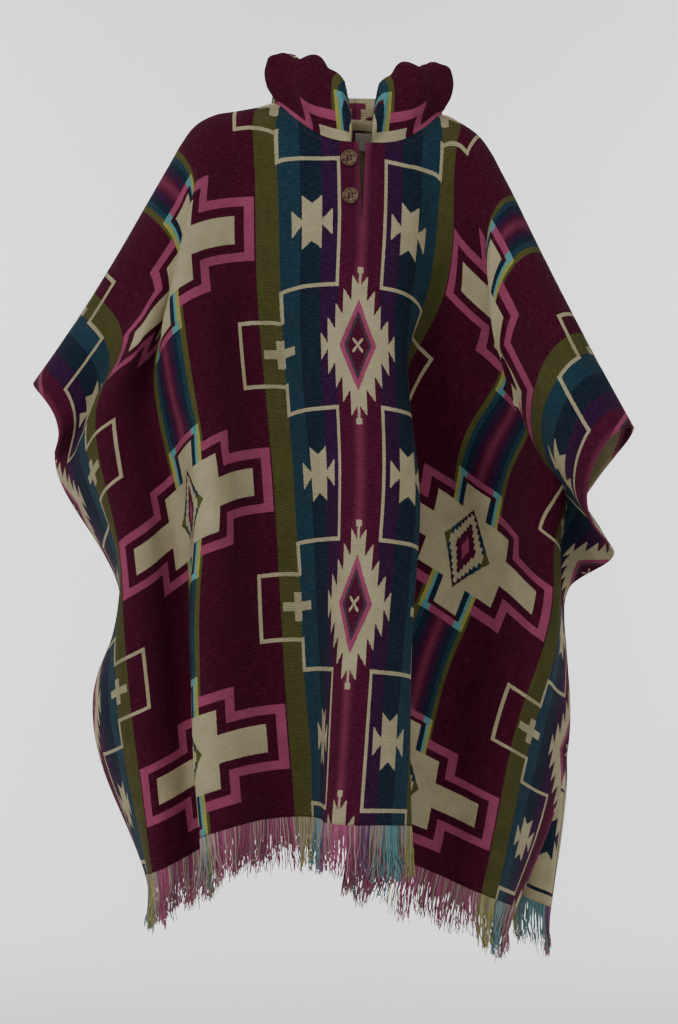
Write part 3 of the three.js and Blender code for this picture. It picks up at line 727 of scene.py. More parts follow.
def stepped_outline(s, p, a):
    upright = s.both(s.less(s.away(p, 27.5), LINE), s.less(72.5, a))
    ledge = s.box(s.away(p, 64.75), 39.75, s.away(a, 75), LINE)
    riser = s.box(s.away(p, 102), LINE, s.away(a, 57), 20)
    arm = s.box(s.away(p, 130), 30.5, s.away(a, 39), LINE)
    end = s.box(s.away(p, 158), LINE, a, 41.5)
    return s.either(s.either(upright, ledge), s.either(s.either(riser, arm), end))


def star(s, p, b):
    x = s.away(p, STAR_AXIS)
    notch = s.do("MULTIPLY_ADD", x, 0.8, 23.0)
    body = s.both(s.less(x, 13.0), s.less(b, notch))
    bow = s.do("MULTIPLY_ADD", s.do("SUBTRACT", x, 13.0), 1.05, 3.5)
    wings = s.both(s.less(s.away(x, 19.0), 6.5), s.less(b, bow))
    return s.either(body, wings)


def plus(s, p, a):
    x = s.away(p, PLUS_AXIS)
    return s.either(s.box(x, 21.5, a, 5.5), s.box(x, 5.5, a, 17.5))


def toothed_diamond(s, p, a):
    strip = s.do("DIVIDE", p, TEETH["width"])
    number = s.do("FLOOR", strip)
    part = s.do("SUBTRACT", 1.0, s.do("FRACT", strip))
    top = s.do("MULTIPLY_ADD", number, -TEETH["lower_by"], TEETH["highest"])
    top = s.do("SUBTRACT", top, s.do("MULTIPLY", part, TEETH["slope"]))
    teeth = s.both(s.less(a, top), s.less(p, 5 * TEETH["width"]))
    stem = s.box(p, 1.6, a, 92)
    bead = s.box(p, 3.6, s.away(a, 93), 4)
    return s.either(teeth, s.either(stem, bead))


def small_cross(s, p, a):
    slant = s.less(s.away(p, s.do("MULTIPLY", a, 0.75)), 1.7)
    return s.both(slant, s.box(p, 7.0, a, 9.0))


def cross_steps(s, q, b, arm, block):
    """The large cross: half width and half height of its long arm and of its middle block."""
    return s.either(s.box(q, arm[0], b, arm[1]), s.box(q, block[0], b, block[1]))


def stepped_diamond(s, q, b, half_width, half_height):
    height = s.do("MULTIPLY", s.do("FLOOR", s.do("DIVIDE", b, DIAMOND_STEP)), DIAMOND_STEP)
    return s.diamond(q, half_width, height, half_height)


def paint_cross(s, colour, reverse, q, b):
    y = YARN
    pink = cross_steps(s, q, b, (154, 39), (87, 68))
    dark = cross_steps(s, q, b, (141, 27.5), (74, 57))
    cream = cross_steps(s, q, b, (128, 17), (62, 47))
    colour = s.paint(s.paint(colour, pink, y["pink"]), dark, y["burgundy"])
    reverse = s.paint(s.paint(reverse, pink, y["pink"]), dark, y["cream"])
    post = s.both(s.less(q, 38), s.both(s.less(47, b), s.less(b, 94)))
    strips = s.stripes(q, 38, [
        (0, y["cream"]), (20, y["navy"]), (28, y["sky"]), (32, y["yellow"]),
    ])
    ends = s.stripes(q, 38, [(0, y["pink"]), (22, y["sky"]), (34, y["yellow"])])
    inner = s.box(q, 28, s.away(b, 82.5), 2.5)
    strips = s.paint(s.paint(strips, s.less(85, b), ends), inner, y["burgundy"])
    colour = s.paint(s.paint(colour, post, strips), cream, y["cream"])
    reverse = s.paint(s.paint(reverse, post, strips), cream, y["burgundy"])
    border = s.stripes(q, 38, [
        (0, y["burgundy"]), (8, y["purple"]), (15, y["navy"]), (22, y["teal"]), (29, y["olive"]),
    ])
    colour = s.paint(colour, s.diamond(q, 39, b, 53), border)
    colour = s.paint(colour, stepped_diamond(s, q, b, 29, 44), y["cream"])
    colour = s.paint(colour, stepped_diamond(s, q, b, 17, 31), y["crimson"])
    colour = s.paint(colour, s.diamond(q, 7, b, 15), y["pink"])
    return colour, reverse


def build_pattern():
    tree = new_group("woven pattern", [
        ("Color", "NodeSocketColor"), ("Reverse", "NodeSocketColor"), ("Ribbed", "NodeSocketFloat"),
    ])
    s = Sums(tree)
    place, across, down = s.flat()
    wander = s.do("MULTIPLY_ADD", s.noise(place, 650, 1.0), 1.8, -0.9)
    u = s.do("SNAP", s.do("MULTIPLY_ADD", across, 1000, wander), THREAD_WIDE)
    v = s.do("SNAP", s.do("MULTIPLY_ADD", down, 1000, wander), THREAD_HIGH)
    p = s.do("PINGPONG", u, CROSS_AXIS)
    a = s.do("PINGPONG", v, REPEAT / 2)
    b = s.do("SUBTRACT", REPEAT / 2, a)
    q = s.do("SUBTRACT", CROSS_AXIS, p)
    ground = ground_stripes(s, p)
    near, far = (s.do("SUBTRACT", 1.0, s.do("DIVIDE", x, GLOW)) for x in (p, q))
    glow = s.do("MAXIMUM", s.do("MAXIMUM", near, far), 0.0)
    ground = s.paint(ground, s.do("MULTIPLY", glow, 0.4), YARN["pink"])
    colour, reverse = paint_cross(s, ground, YARN["cream"], q, b)
    small = s.either(stepped_outline(s, p, a), s.either(star(s, p, b), plus(s, p, a)))
    teeth = s.both(toothed_diamond(s, p, a), s.less(100, v))  # none at the neckline
    small = s.either(small, teeth)
    colour = s.paint(colour, small, YARN["cream"])
    reverse = s.paint(reverse, small, ground)
    for half_width, half_height, name in [(23, 57, "pink"), (17, 43, "grey"), (13, 34, "crimson")]:
        ring = s.diamond(p, half_width, a, half_height)
        colour = s.paint(colour, ring, YARN[name])
        reverse = s.paint(reverse, ring, YARN[name])
    colour = s.paint(colour, small_cross(s, p, a), YARN["cream"])
    olive = s.do("MULTIPLY", s.less(s.away(p, 116.5), 14.5), 0.6)
    ribbed = s.do("MULTIPLY_ADD", s.less(s.away(p, 88), 43), 0.4, olive)
    return give(tree, {"Color": colour, "Reverse": reverse, "Ribbed": ribbed})


pattern = build_pattern()
print("pattern nodes:", len(pattern.nodes))

# %% [markdown]
# A brushed blanket has fine ribs from side to side under a haze of loose fibre. One group makes
# both: streaks of lighter and darker yarn that follow the threads, a soft mottle, painted shade
# that darkens the colour in the groove of each rib, and a height for the Bump node. The stripes
# of navy, teal and olive are brushed less, so their ribs and their painted shade show more.

# %% The brushed weave
RIB = 2.2  # millimetres from rib to rib


def build_weave():
    tree = new_group(
        "brushed weave",
        [("Color", "NodeSocketColor"), ("Height", "NodeSocketFloat")],
        [("Color", "NodeSocketColor"), ("Ribbed", "NodeSocketFloat")],
    )
    s = Sums(tree)
    given = tree.nodes.new("NodeGroupInput")
    place, _, down = s.flat()
    streak = s.noise(s.stretched(place, (110, 700, 1)), 1.0, 3.0)
    fibre = s.noise(place, 900, 3.0)
    mottle = s.noise(place, 30, 4.0)
    angle = s.do("MULTIPLY", down, 2000 * math.pi / RIB)
    rib = s.do("SINE", s.do("MULTIPLY_ADD", streak, 3.5, angle))
    strength = s.do("MULTIPLY_ADD", given.outputs["Ribbed"], 0.2, 0.03)
    # Painted shade: the rib lightens the colour on each rib and darkens it in the groove.
    light = s.do("MULTIPLY_ADD", rib, strength, 0.05)
    for grain, share in ((streak, 0.65), (fibre, 0.7), (mottle, 0.55)):
        light = s.do("MULTIPLY_ADD", grain, share, light)
    scaled = s.scaled(given.outputs["Color"], s.do("MAXIMUM", light, 0.35))
    loose = s.do("MAXIMUM", s.do("SUBTRACT", s.do("MULTIPLY", fibre, streak), 0.24), 0.0)
    soft = s.paint(scaled, s.do("MULTIPLY", loose, 0.8), linear("#9A6A74"))
    height = s.do("MULTIPLY_ADD", rib, s.do("MULTIPLY", strength, 2.4), fibre)
    height = s.do("MULTIPLY_ADD", streak, 0.8, height)
    return give(tree, {"Color": soft, "Height": height})


weave = build_weave()


class Finish(Sums):
    """The tree of a new material, and the inputs of its shader."""

    def __init__(self, name, roughness, specular=0.25):
        self.material = bpy.data.materials.new(name)
        self.material.use_nodes = True
        super().__init__(self.material.node_tree)
        self.shader = self.tree.nodes["Principled BSDF"].inputs
        self.shader["Roughness"].default_value = roughness
        self.shader["Specular IOR Level"].default_value = specular

    def end(self, colour, height, distance, strength=0.6):
        self.put(self.shader["Base Color"], colour)
        sockets = {"Distance": distance, "Strength": strength, "Height": height}
        self.put(self.shader["Normal"], self.out("ShaderNodeBump", sockets))
        return self.material


def cloth_material(name, output):
    s = Finish(name, 0.97, 0.12)
    s.shader["Sheen Weight"].default_value = 0.07
    s.shader["Sheen Roughness"].default_value = 0.6
    s.shader["Sheen Tint"].default_value = linear("#C99AA8")
    chart = s.add("ShaderNodeGroup", node_tree=pattern).outputs
    threads = {"Color": chart[output], "Ribbed": chart["Ribbed"]}
    brushed = s.add("ShaderNodeGroup", threads, node_tree=weave).outputs
    return s.end(brushed["Color"], brushed["Height"], 0.0012, 0.8)


cloth_face = cloth_material("blanket_face", "Color")
cloth_reverse = cloth_material("blanket_reverse", "Reverse")
CLOTH = [cloth_face, cloth_reverse, cloth_face]

# %% The two panels
front_cloth = panel_piece("front", CLOTH)
back_cloth = panel_piece("back", CLOTH)
claim(front_cloth, "blanket", "front_panel")
claim(back_cloth, "blanket", "back_panel")

# %% [markdown]
# The hood is two mirrored pieces sewn along the back of the head and round the neckline. Thrown
# back, each half stands beside the neck as a soft roll, goes round to the nape and hangs there as
# a bag. Two profiles, outward and up from the neck seam, describe the roll and the bag, and each
# place along the seam takes its share of both.

# %% Hood form
HOOD_START = 10.0  # how far from the slit each half begins
SEAM_RISE = 0.5  # how far the seam stands off the edge of the panels
HOOD_DROP = 205.0
BAG_SPREAD = 1.7
LOBE = [
    (0, 0), (-1, 0.07), (1, 0.2), (7, 0.42), (9, 0.68),
    (4, 0.87), (-3, 0.97), (-9, 1), (-14, 0.99), (-18, 0.95),
]
BAG = [
    (0, 0), (3, 0.05), (12, 0.06), (26, -0.06), (48, -0.36), (66, -0.78),
    (84, -0.99), (104, -0.93), (113, -0.45), (92, 0.27),
]
LOBE_HEIGHT = [24, 74, 86, 74, 58, 54, 54, 54, 54]
HOOD_COLUMNS = 80
HOOD_ROWS = 80
# From (share along the seam, share up the profile), to, depth in millimetres, half width.
HOOD_CREASES = [
    ((0.1, 0.1), (0.22, 1.0), -4.5, 0.05), ((0.24, 0.0), (0.3, 0.9), 4.0, 0.05),
    ((0.38, 0.05), (0.4, 0.95), -5.0, 0.05), ((0.5, 0.0), (0.52, 1.0), 5.0, 0.055),
    ((0.6, 0.1), (0.66, 1.0), -6.0, 0.05), ((0.72, 0.2), (0.76, 1.0), 4.0, 0.05),
    ((0.86, 0.35), (0.84, 1.0), -5.0, 0.05), ((0.2, 0.62), (0.9, 0.5), 3.0, 0.06),
    ((0.3, 0.85), (0.95, 0.82), -3.0, 0.05),
]


def neck_seam(side, share):
    """The neckline from the slit over the shoulder to the nape, for the half on that side."""
    places = [HOOD_START, NECK_HALF / 4, NECK_HALF, 0]
    u = np.interp(share, [0, 1 / 8, 0.5, 1], places) * side
    edges = []
    for name in ("front", "back"):
        points = panels[name]["points"]
        line = points[0] + SEAM_RISE * unit(points[0] - points[3])
        edges.append(along_line(u, FINE_U, line))
    return np.where((share < 0.5)[:, None], *edges)


def hood_form(side):
    share = np.linspace(0, 1, HOOD_COLUMNS + 1)
    up = np.linspace(0, 1, HOOD_ROWS + 1)
    seam = neck_seam(side, share)
    round_neck = np.pi * share
    bag = smoothstep(share, 0.5, 0.95)
    out = np.stack([side * np.sin(round_neck), -np.cos(round_neck), np.zeros_like(share)], axis=1)
    out[:, 0] *= 1 + (BAG_SPREAD - 1) * bag
    steps = np.arange(len(LOBE))
    lobe = curve_through(steps, LOBE, up * steps[-1])
    hang = curve_through(steps, BAG, up * steps[-1])
    height = curve_through(np.linspace(0, 1, len(LOBE_HEIGHT)), LOBE_HEIGHT, share)
    reach = lobe[:, None, 0] * (1 - bag) + hang[:, None, 0] * bag
    rise = lobe[:, None, 1] * height * (1 - bag) + hang[:, None, 1] * HOOD_DROP * bag
    points = seam[None] + out[None] * reach[..., None]
    points[..., 2] += rise
    normals = surface_normals(points, -side)
    a, b = np.meshgrid(share, up)
    bump = np.zeros_like(a)
    for start, end, depth, width in HOOD_CREASES:
        along, beside = beside_line(a, b, start, end)
        beside -= side * 0.012 * np.sin(5 * b + start[0])
        bump += depth * smoothstep(along, -0.1, 0.35) * np.exp(-((beside / width) ** 2))
    bump *= smoothstep(b, 0.02, 0.2) * smoothstep(1 - a, 0.0, 0.12)
    points = points + normals * bump[..., None]
    return {"points": points, "seam": seam, "normals": surface_normals(points, -side)}


# The hood is cut with a large cross at the front of each half. The cross axis stands this far from
# the front corner of the neck seam, and the neck seam lies this far from the row of the cross.
HOOD_CUT = {-1: (18.0, 34.0), 1: (16.0, 34.0)}


hoods = {side: hood_form(side) for side in HOOD_CUT}


def hood_piece(side, name):
    points, normals = hoods[side]["points"], hoods[side]["normals"].copy()
    normals[:, -1, 0] = 0
    normals[:, -1] = unit(normals[:, -1])
    offset, above = HOOD_CUT[side]
    along = running_length(hoods[side]["seam"])
    up = running_length(points)
    u = np.broadcast_to((CROSS_AXIS - offset) * (1 - along / along[-1]), up.shape)
    flat = np.stack([u.ravel(), (REPEAT / 2 + above + up).ravel()], axis=1)
    quads = grid_quads(HOOD_ROWS + 1, HOOD_COLUMNS + 1, side > 0)
    return wall_mesh(name, points.reshape(-1, 3), normals.reshape(-1, 3), quads, flat, CLOTH)


hood_left = hood_piece(-1, "hood_cloth_left")
hood_right = hood_piece(1, "hood_cloth_right")
claim(hood_left, "hood_cloth", "hood_left")
claim(hood_right, "hood_cloth", "hood_right")

# %% [markdown]
# The fringe is the cloth's own lengthways yarns, left unwoven below the hem. About a thousand yarns
# follow one edge, so Geometry Nodes make them: the hem is a line whose points know which way the
# cloth hangs and where they lie on the flat cloth, and the tree plants a wavy tapering yarn at each
# place along it. Slow noise pulls neighbours together at the tips, so that they hang in locks.

# %% The hem line
def line_mesh(name, lines):
    """Lines of points as one mesh of edges."""
    points, edges = [], []
    for line in lines:
        edges += [(len(points) + k, len(points) + k + 1) for k in range(len(line) - 1)]
        points += list(line)
    mesh = bpy.data.meshes.new(name)
    mesh.from_pydata((np.array(points) * MM).tolist(), edges, [])
    return in_scene(name, mesh)


def hem_line(side):
    panel = panels[side]
    points = panel["points"][-1]
    hang = unit(points - panel["points"][-4])
    line = line_mesh(f"hem_{side}", [points])
    flat = np.zeros((len(points), 3))
    flat[:, 0] = FINE_U * MM
    for label, values in (("hang", hang), ("out", panel["normals"][-1]), ("flat", flat)):
        keep_vectors(line.data, label, values)
    return line


# %% Helpers for geometry nodes
class Steps(Nodes):
    """A tree of geometry nodes with its own inputs."""

    def __init__(self, name, inputs):
        super().__init__(bpy.data.node_groups.new(name, "GeometryNodeTree"))
        face = self.tree.interface
        face.new_socket("Geometry", in_out="INPUT", socket_type="NodeSocketGeometry")
        self.names = {}
        for label, kind, value in inputs:
            item = face.new_socket(label, in_out="INPUT", socket_type=kind)
            if value is not None:
                item.default_value = value
            self.names[label] = item.identifier
        face.new_socket("Geometry", in_out="OUTPUT", socket_type="NodeSocketGeometry")
        self.given = self.tree.nodes.new("NodeGroupInput")
        self.result = self.tree.nodes.new("NodeGroupOutput")

    def named(self, label, kind="FLOAT_VECTOR"):
        return self.out("GeometryNodeInputNamedAttribute", {0: label}, data_type=kind)

    def store(self, geometry, label, value, kind="FLOAT"):
        sockets = {"Geometry": geometry, "Name": label, "Value": value}
        settings = {"data_type": kind, "domain": "POINT"}
        return self.out("GeometryNodeStoreNamedAttribute", sockets, **settings)

    def end(self, geometry):
        sockets = {"Geometry": geometry, "Material": self.given.outputs["Material"]}
        dyed = self.out("GeometryNodeSetMaterial", sockets)
        self.tree.links.new(dyed, self.result.inputs[0])

    def chance(self, low, high, seed):
        node = self.add("FunctionNodeRandomValue", data_type="FLOAT")
        ends = [socket for socket in node.inputs if socket.enabled]
        self.put(ends[0], low)
        self.put(ends[1], high)
        self.put(ends[-1], seed)
        return next(socket for socket in node.outputs if socket.enabled)


def make(steps, source, name, values):
    """Runs a tree on source, which goes, and returns the result as a plain mesh object."""
    modifier = source.modifiers.new("steps", "NODES")
    modifier.node_group = steps.tree
    for label, value in values.items():
        modifier[steps.names[label]] = value
    bpy.context.view_layer.update()
    evaluated = source.evaluated_get(bpy.context.evaluated_depsgraph_get())
    mesh = bpy.data.meshes.new_from_object(evaluated)
    source.modifiers.clear()
    mesh.name = name
    bpy.data.objects.remove(source)
    return in_scene(name, mesh)


# %% The fringe tree
YARN_POINTS = 9
LOCK_SWAY = 0.045  # metres, as the two below
YARN_KINK = 0.012
FRINGE_THICK = 0.002


def fringe_steps():
    g = Steps("fringe", [
        ("Yarns", "NodeSocketInt", 1000), ("Length", "NodeSocketFloat", 0.06),
        ("Radius", "NodeSocketFloat", 0.001), ("Seed", "NodeSocketInt", 1),
        ("Material", "NodeSocketMaterial", None),
    ])
    given = g.given.outputs
    line = g.out("GeometryNodeMeshToCurve", {"Mesh": given["Geometry"]})
    points = g.add("GeometryNodeCurveToPoints", {"Curve": line, "Count": given["Yarns"]})
    here = g.out("GeometryNodeInputPosition")
    kept = g.store(points.outputs["Points"], "root", here, "FLOAT_VECTOR")
    long = g.do("MULTIPLY", given["Length"], g.chance(0.84, 1.08, given["Seed"]))
    kept = g.store(kept, "long", long)
    kept = g.store(kept, "shade", g.chance(0.0, 1.0, g.do("ADD", given["Seed"], 7)))
    yarn = g.out("GeometryNodeMeshLine", {
        "Count": YARN_POINTS, "Offset": (0, 0, 1 / (YARN_POINTS - 1)),
    })
    part = g.add("ShaderNodeSeparateXYZ", {0: g.out("GeometryNodeInputPosition")})
    yarn = g.store(yarn, "part", part.outputs[2])
    planted = g.out("GeometryNodeInstanceOnPoints", {"Points": kept, "Instance": yarn})
    real = g.out("GeometryNodeRealizeInstances", {"Geometry": planted})
    share = g.named("part", "FLOAT")
    root = g.named("root")
    locks = g.add("ShaderNodeTexNoise", {"Vector": root, "Scale": 34.0, "Detail": 1.0})
    lock = g.vector("SUBTRACT", locks.outputs["Color"], (0.5, 0.5, 0.5))
    sway = g.scaled(lock, g.do("MULTIPLY", g.do("POWER", share, 1.4), LOCK_SWAY))
    climb = g.scaled((0.0, 0.0, 1.0), g.do("MULTIPLY", share, 3.0))
    seen = g.vector("ADD", g.scaled(root, 900.0), climb)
    own = g.add("ShaderNodeTexNoise", {"Vector": seen, "Scale": 1.0, "Detail": 0.0})
    own = g.vector("SUBTRACT", own.outputs["Color"], (0.5, 0.5, 0.5))
    kink = g.scaled(own, g.do("MULTIPLY", share, YARN_KINK))
    bend = g.do("MULTIPLY", share, 0.55)
    way = g.add("ShaderNodeMix", {0: bend, 4: g.named("hang"), 5: (0, 0, -1)}, data_type="VECTOR")
    reach = g.scaled(way.outputs[1], g.do("MULTIPLY", share, g.named("long", "FLOAT")))
    layer = g.do("SUBTRACT", g.named("shade", "FLOAT"), 0.5)
    aside = g.scaled(g.named("out"), g.do("MULTIPLY", layer, FRINGE_THICK))
    place = g.vector("ADD", g.vector("ADD", root, reach), g.vector("ADD", sway, kink))
    place = g.vector("ADD", place, aside)
    moved = g.out("GeometryNodeSetPosition", {"Geometry": real, "Position": place})
    curves = g.out("GeometryNodeMeshToCurve", {"Mesh": moved})
    thin = g.do("MULTIPLY", given["Radius"], g.do("MULTIPLY_ADD", share, -0.5, 1.0))
    ring = g.out("GeometryNodeCurvePrimitiveCircle", {"Resolution": 4, "Radius": 1.0})
    sized = g.out("GeometryNodeSetCurveRadius", {"Curve": curves, "Radius": thin})
    tubes = g.out("GeometryNodeCurveToMesh", {
        "Curve": sized, "Profile Curve": ring, "Fill Caps": True, "Scale": thin,
    })
    g.end(g.out("GeometryNodeRealizeInstances", {"Geometry": tubes}))
    return g


# %% [markdown]
# The fringe takes its colours from the stripe that each yarn comes out of, in the lighter yarn of
# the double cloth. About a fifth of the yarns are the pale ones of the reverse.

# %% Yarn material
def yarn_material():
    s = Finish("fringe_yarn", 0.85)
    s.shader["Sheen Weight"].default_value = 0.15
    _, across, _ = s.flat()
    shade, part = s.named("shade")["Fac"], s.named("part")["Fac"]
    p = s.do("PINGPONG", s.do("MULTIPLY", across, 1000), CROSS_AXIS)
    rose, mauve, blue, straw = [linear(c) for c in ("#AD5C7D", "#7F5A7C", "#6A999C", "#A5A266")]
    colour = s.stripes(p, CROSS_AXIS, [
        (0, rose), (25, mauve), (45, blue), (102, straw), (131, rose),
        (245, straw), (253, blue), (267.5, mauve), (275.5, rose),
    ])
    colour = s.paint(colour, s.less(0.78, shade), linear("#A8938A"))
    # Painted shade: the twist makes each yarn lighter and darker along its plies, in step with its
    # bump.
    twist = s.do("SINE", s.do("MULTIPLY", part, 190.0))
    light = s.do("MULTIPLY_ADD", s.do("FRACT", s.do("MULTIPLY", shade, 37.0)), 0.6, 0.72)
    light = s.do("MULTIPLY_ADD", twist, 0.08, light)
    return s.end(s.scaled(colour, light), twist, 0.0003)


yarn_finish = yarn_material()
fringe_tree = fringe_steps()


def fringe_piece(side, yarns, seed):
    line = hem_line(side)
    values = {"Yarns": yarns, "Seed": seed, "Material": yarn_finish}
    piece = make(fringe_tree, line, f"fringe_yarns_{side}", values)
    claim(piece, "yarn", f"fringe_{side}")
    return piece


fringe_front = fringe_piece("front", 1050, 3)
fringe_back = fringe_piece("back", 950, 11)

# %% [markdown]
# The sewing: a row of running stitches along each edge of the slit, one round the neckline, and one
# along the rim of each half of the hood. One tree sets a short straight stitch at even steps along
# any line, turned the way that the line runs.

# %% The stitch tree
def stitch_steps():
    g = Steps("stitches", [
        ("Step", "NodeSocketFloat", 0.005), ("Long", "NodeSocketFloat", 0.0032),
        ("Thick", "NodeSocketFloat", 0.0008), ("Material", "NodeSocketMaterial", None),
    ])
    given = g.given.outputs
    line = g.out("GeometryNodeMeshToCurve", {"Mesh": given["Geometry"]})
    places = {"Curve": line, "Length": given["Step"]}
    points = g.add("GeometryNodeCurveToPoints", places, mode="LENGTH").outputs
    thick, long = given["Thick"], given["Long"]
    size = g.out("ShaderNodeCombineXYZ", {0: thick, 1: thick, 2: long})
    bead = g.out("GeometryNodeMeshUVSphere", {"Segments": 8, "Rings": 6, "Radius": 0.5})
    stitch = g.out("GeometryNodeTransform", {"Geometry": bead, "Scale": size})
    sewn = g.out("GeometryNodeInstanceOnPoints", {
        "Points": points["Points"], "Instance": stitch, "Rotation": points["Rotation"],
    })
    g.end(g.out("GeometryNodeRealizeInstances", {"Geometry": sewn}))
    return g


def thread_material():
    s = Finish("sewing_thread", 0.7)
    ply = s.noise(s.add("ShaderNodeTexCoord").outputs["Object"], 2600, 1.0)
    lighter = s.paint(linear("#3D0F26"), s.do("MULTIPLY", ply, 0.5), linear("#8A4A64"))
    return s.end(lighter, ply, 0.0002)


stitch_tree = stitch_steps()
sewing_thread = thread_material()


# %% Lines of stitches
STITCH_LIFT = WALL / 2 + 0.1
NECK_HEM = 5.0  # how far below the neckline its stitches run


def place_on(side, u, v):
    """The point and the normal of a panel at one place on its flat cloth."""
    panel = panels[side]
    k = int(np.clip(np.searchsorted(FINE_U, u), 1, len(FINE_U) - 1))
    part = (u - FINE_U[k - 1]) / FINE_STEP
    found = []
    for grid in (panel["points"], panel["normals"]):
        ends = [along_line(v, panel["v"][:, i], grid[:, i]) for i in (k - 1, k)]
        found.append(ends[0] * (1 - part) + ends[1] * part)
    return found[0], unit(found[1])


def line_on(side, places):
    found = [place_on(side, *place) for place in places]
    return [point + normal * STITCH_LIFT for point, normal in found]


def hood_line(side, up):
    row = round(up * HOOD_ROWS)
    line = hoods[side]["points"][row] + hoods[side]["normals"][row] * STITCH_LIFT
    return line[2:-2]


def sew(name, lines, **values):
    line = line_mesh(name + "_line", lines)
    piece = make(stitch_tree, line, name, {"Material": sewing_thread, **values})
    claim(piece, "yarn")
    return piece


def neckline_places(side):
    return [
        (u, NECK_DROP[side] * (1 - (u / NECK_HALF) ** 2) + NECK_HEM)
        for u in np.linspace(-NECK_HALF + 4, NECK_HALF - 4, 61) if side == "back" or abs(u) > 9
    ]


slit_lines = [line_on("front", [(u, v) for v in np.arange(66, 144, 3)]) for u in (-7.5, 7.5)]
slit_lines.append(line_on("front", [(u, SLIT_END + 1.5) for u in np.linspace(-5, 5, 7)]))
neck_front = neckline_places("front")
half = len(neck_front) // 2
neck_lines = [line_on("front", places) for places in (neck_front[:half], neck_front[half:])]
front_stitches = sew("front_stitches", slit_lines + neck_lines)
back_stitches = sew("back_stitches", [line_on("back", neckline_places("back"))])
hood_stitches = {
    side: sew(f"hood_stitches_{name}", [hood_line(side, 0.95)])
    for side, name in ((-1, "left"), (1, "right"))
}

# %% [markdown]
# The two buttons are turned from coconut shell: a dished face with a raised rim, four holes and
# two bars of thread. Each face is a round grid whose points sink where a hole is. The label is a
# bare tape that follows the inside of the back.

# %% Buttons
BUTTON_THICK = 3.6
BUTTON_GAP = 0.6
BUTTON_RINGS, BUTTON_SIDES = 97, 96
HOLE = {"away": 2.0, "deep": 2.0, "radius": (0.8, 1.25)}
BUTTON_PLACES = {"upper": (-13, 76), "lower": (-13, 122)}
# Outline from the middle of the face over the rim to the middle of the back: radius, height.
BUTTON_OUTLINE = [
    (0.15, 0.75), (3.2, 0.75), (5.4, 0.8), (6.5, 0.9), (7.3, 1.4), (8.0, 1.75), (8.8, 1.8),
    (9.5, 1.55), (9.9, 1.0), (10.0, 0.2), (9.8, -0.9), (9.0, -1.6), (7.5, -1.8), (0.15, -1.8),
]


def facing_frame(normal):
    across = unit(np.cross((0, 0, 1), normal))
    return np.stack([across, np.cross(normal, across), normal])


def button_piece(name, place):
    outline = np.array(BUTTON_OUTLINE)
    walk = running_length(outline)
    fine = np.linspace(0, walk[-1], BUTTON_RINGS)
    radius, height = along_line(fine, walk, outline).T
    turn = np.linspace(0, 2 * np.pi, BUTTON_SIDES, endpoint=False)
    x, y = radius[:, None] * np.cos(turn), radius[:, None] * np.sin(turn)
    z = np.repeat(height[:, None], BUTTON_SIDES, axis=1)
    hole = np.hypot(np.abs(x) - HOLE["away"], np.abs(y) - HOLE["away"])
    z = np.where(z > 0, z - HOLE["deep"] * (1 - smoothstep(hole, *HOLE["radius"])), z)
    local = np.stack([x, y, z], axis=-1).reshape(-1, 3)
    number = np.arange(BUTTON_RINGS * BUTTON_SIDES).reshape(BUTTON_RINGS, BUTTON_SIDES)
    ring = np.roll(number, -1, axis=1)
    quads = np.stack([number[:-1], number[1:], ring[1:], ring[:-1]], axis=-1).reshape(-1, 4)
    faces = quads.tolist() + [number[0].tolist(), number[-1, ::-1].tolist()]
    point, normal = place_on("front", *place)
    axes = facing_frame(normal)
    centre = point + normal * (WALL / 2 + BUTTON_GAP + BUTTON_THICK / 2)
    mesh = bpy.data.meshes.new(name)
    mesh.from_pydata(((local @ axes + centre) * MM).tolist(), [], faces)
    mesh.polygons.foreach_set("use_smooth", [True] * len(faces))
    keep_vectors(mesh, "flat", local * MM)
    mesh.materials.append(coconut)
    piece = in_scene(name, mesh)
    bar = [(y, 0.9 + 0.25 * math.cos(y * 0.8)) for y in np.linspace(-2, 2, 9)]
    bars = [[centre + np.array((x, *part)) @ axes for part in bar] for x in (-2.3, -1.8, 1.8, 2.3)]
    return piece, bars


def coconut_material():
    s = Finish("coconut_shell", 0.42, 0.4)
    place = s.named("flat")["Vector"]
    blotch = s.noise(s.stretched(place, (420, 620, 420)), 1.0, 3.0)
    fleck = s.noise(s.stretched(place, (900, 3200, 900)), 1.0, 1.0)
    share = s.do("MULTIPLY_ADD", s.do("SUBTRACT", blotch, 0.5), 4.0, 0.5)
    share = s.do("MINIMUM", s.do("MAXIMUM", share, 0.0), 1.0)
    colour = s.paint(linear("#2A1A12"), share, linear("#8F7350"))
    colour = s.paint(colour, s.less(fleck, 0.42), linear("#1D120D"))
    return s.end(colour, fleck, 0.0002)


coconut = coconut_material()
bars, buttons = [], []
for which, place in BUTTON_PLACES.items():
    button, threads = button_piece(f"shell_button_{which}", place)
    claim(button, "shell", f"button_{which}")
    buttons.append(button)
    bars += threads
button_thread = sew("button_thread", bars, Step=0.0005, Long=0.0014, Thick=0.0005)

# %% The label
LABEL = {"width": 30.0, "height": 18.0, "thick": 0.9, "gap": 0.9}
LABEL_PLACE = (13.0, NECK_DROP["back"] + 10)


def tape_material():
    s = Finish("label_tape", 0.8)
    _, u, v = s.flat()
    across = s.do("SINE", s.do("MULTIPLY", u, 2000 * math.pi / 0.5))
    down = s.do("SINE", s.do("MULTIPLY", v, 2000 * math.pi / 0.4))
    weft = s.do("MULTIPLY", across, down)
    share = s.do("MULTIPLY_ADD", weft, 0.2, 0.3)
    colour = s.paint(linear("#F6F4EF"), share, linear("#DEDAD2"))
    return s.end(colour, weft, 0.0002)


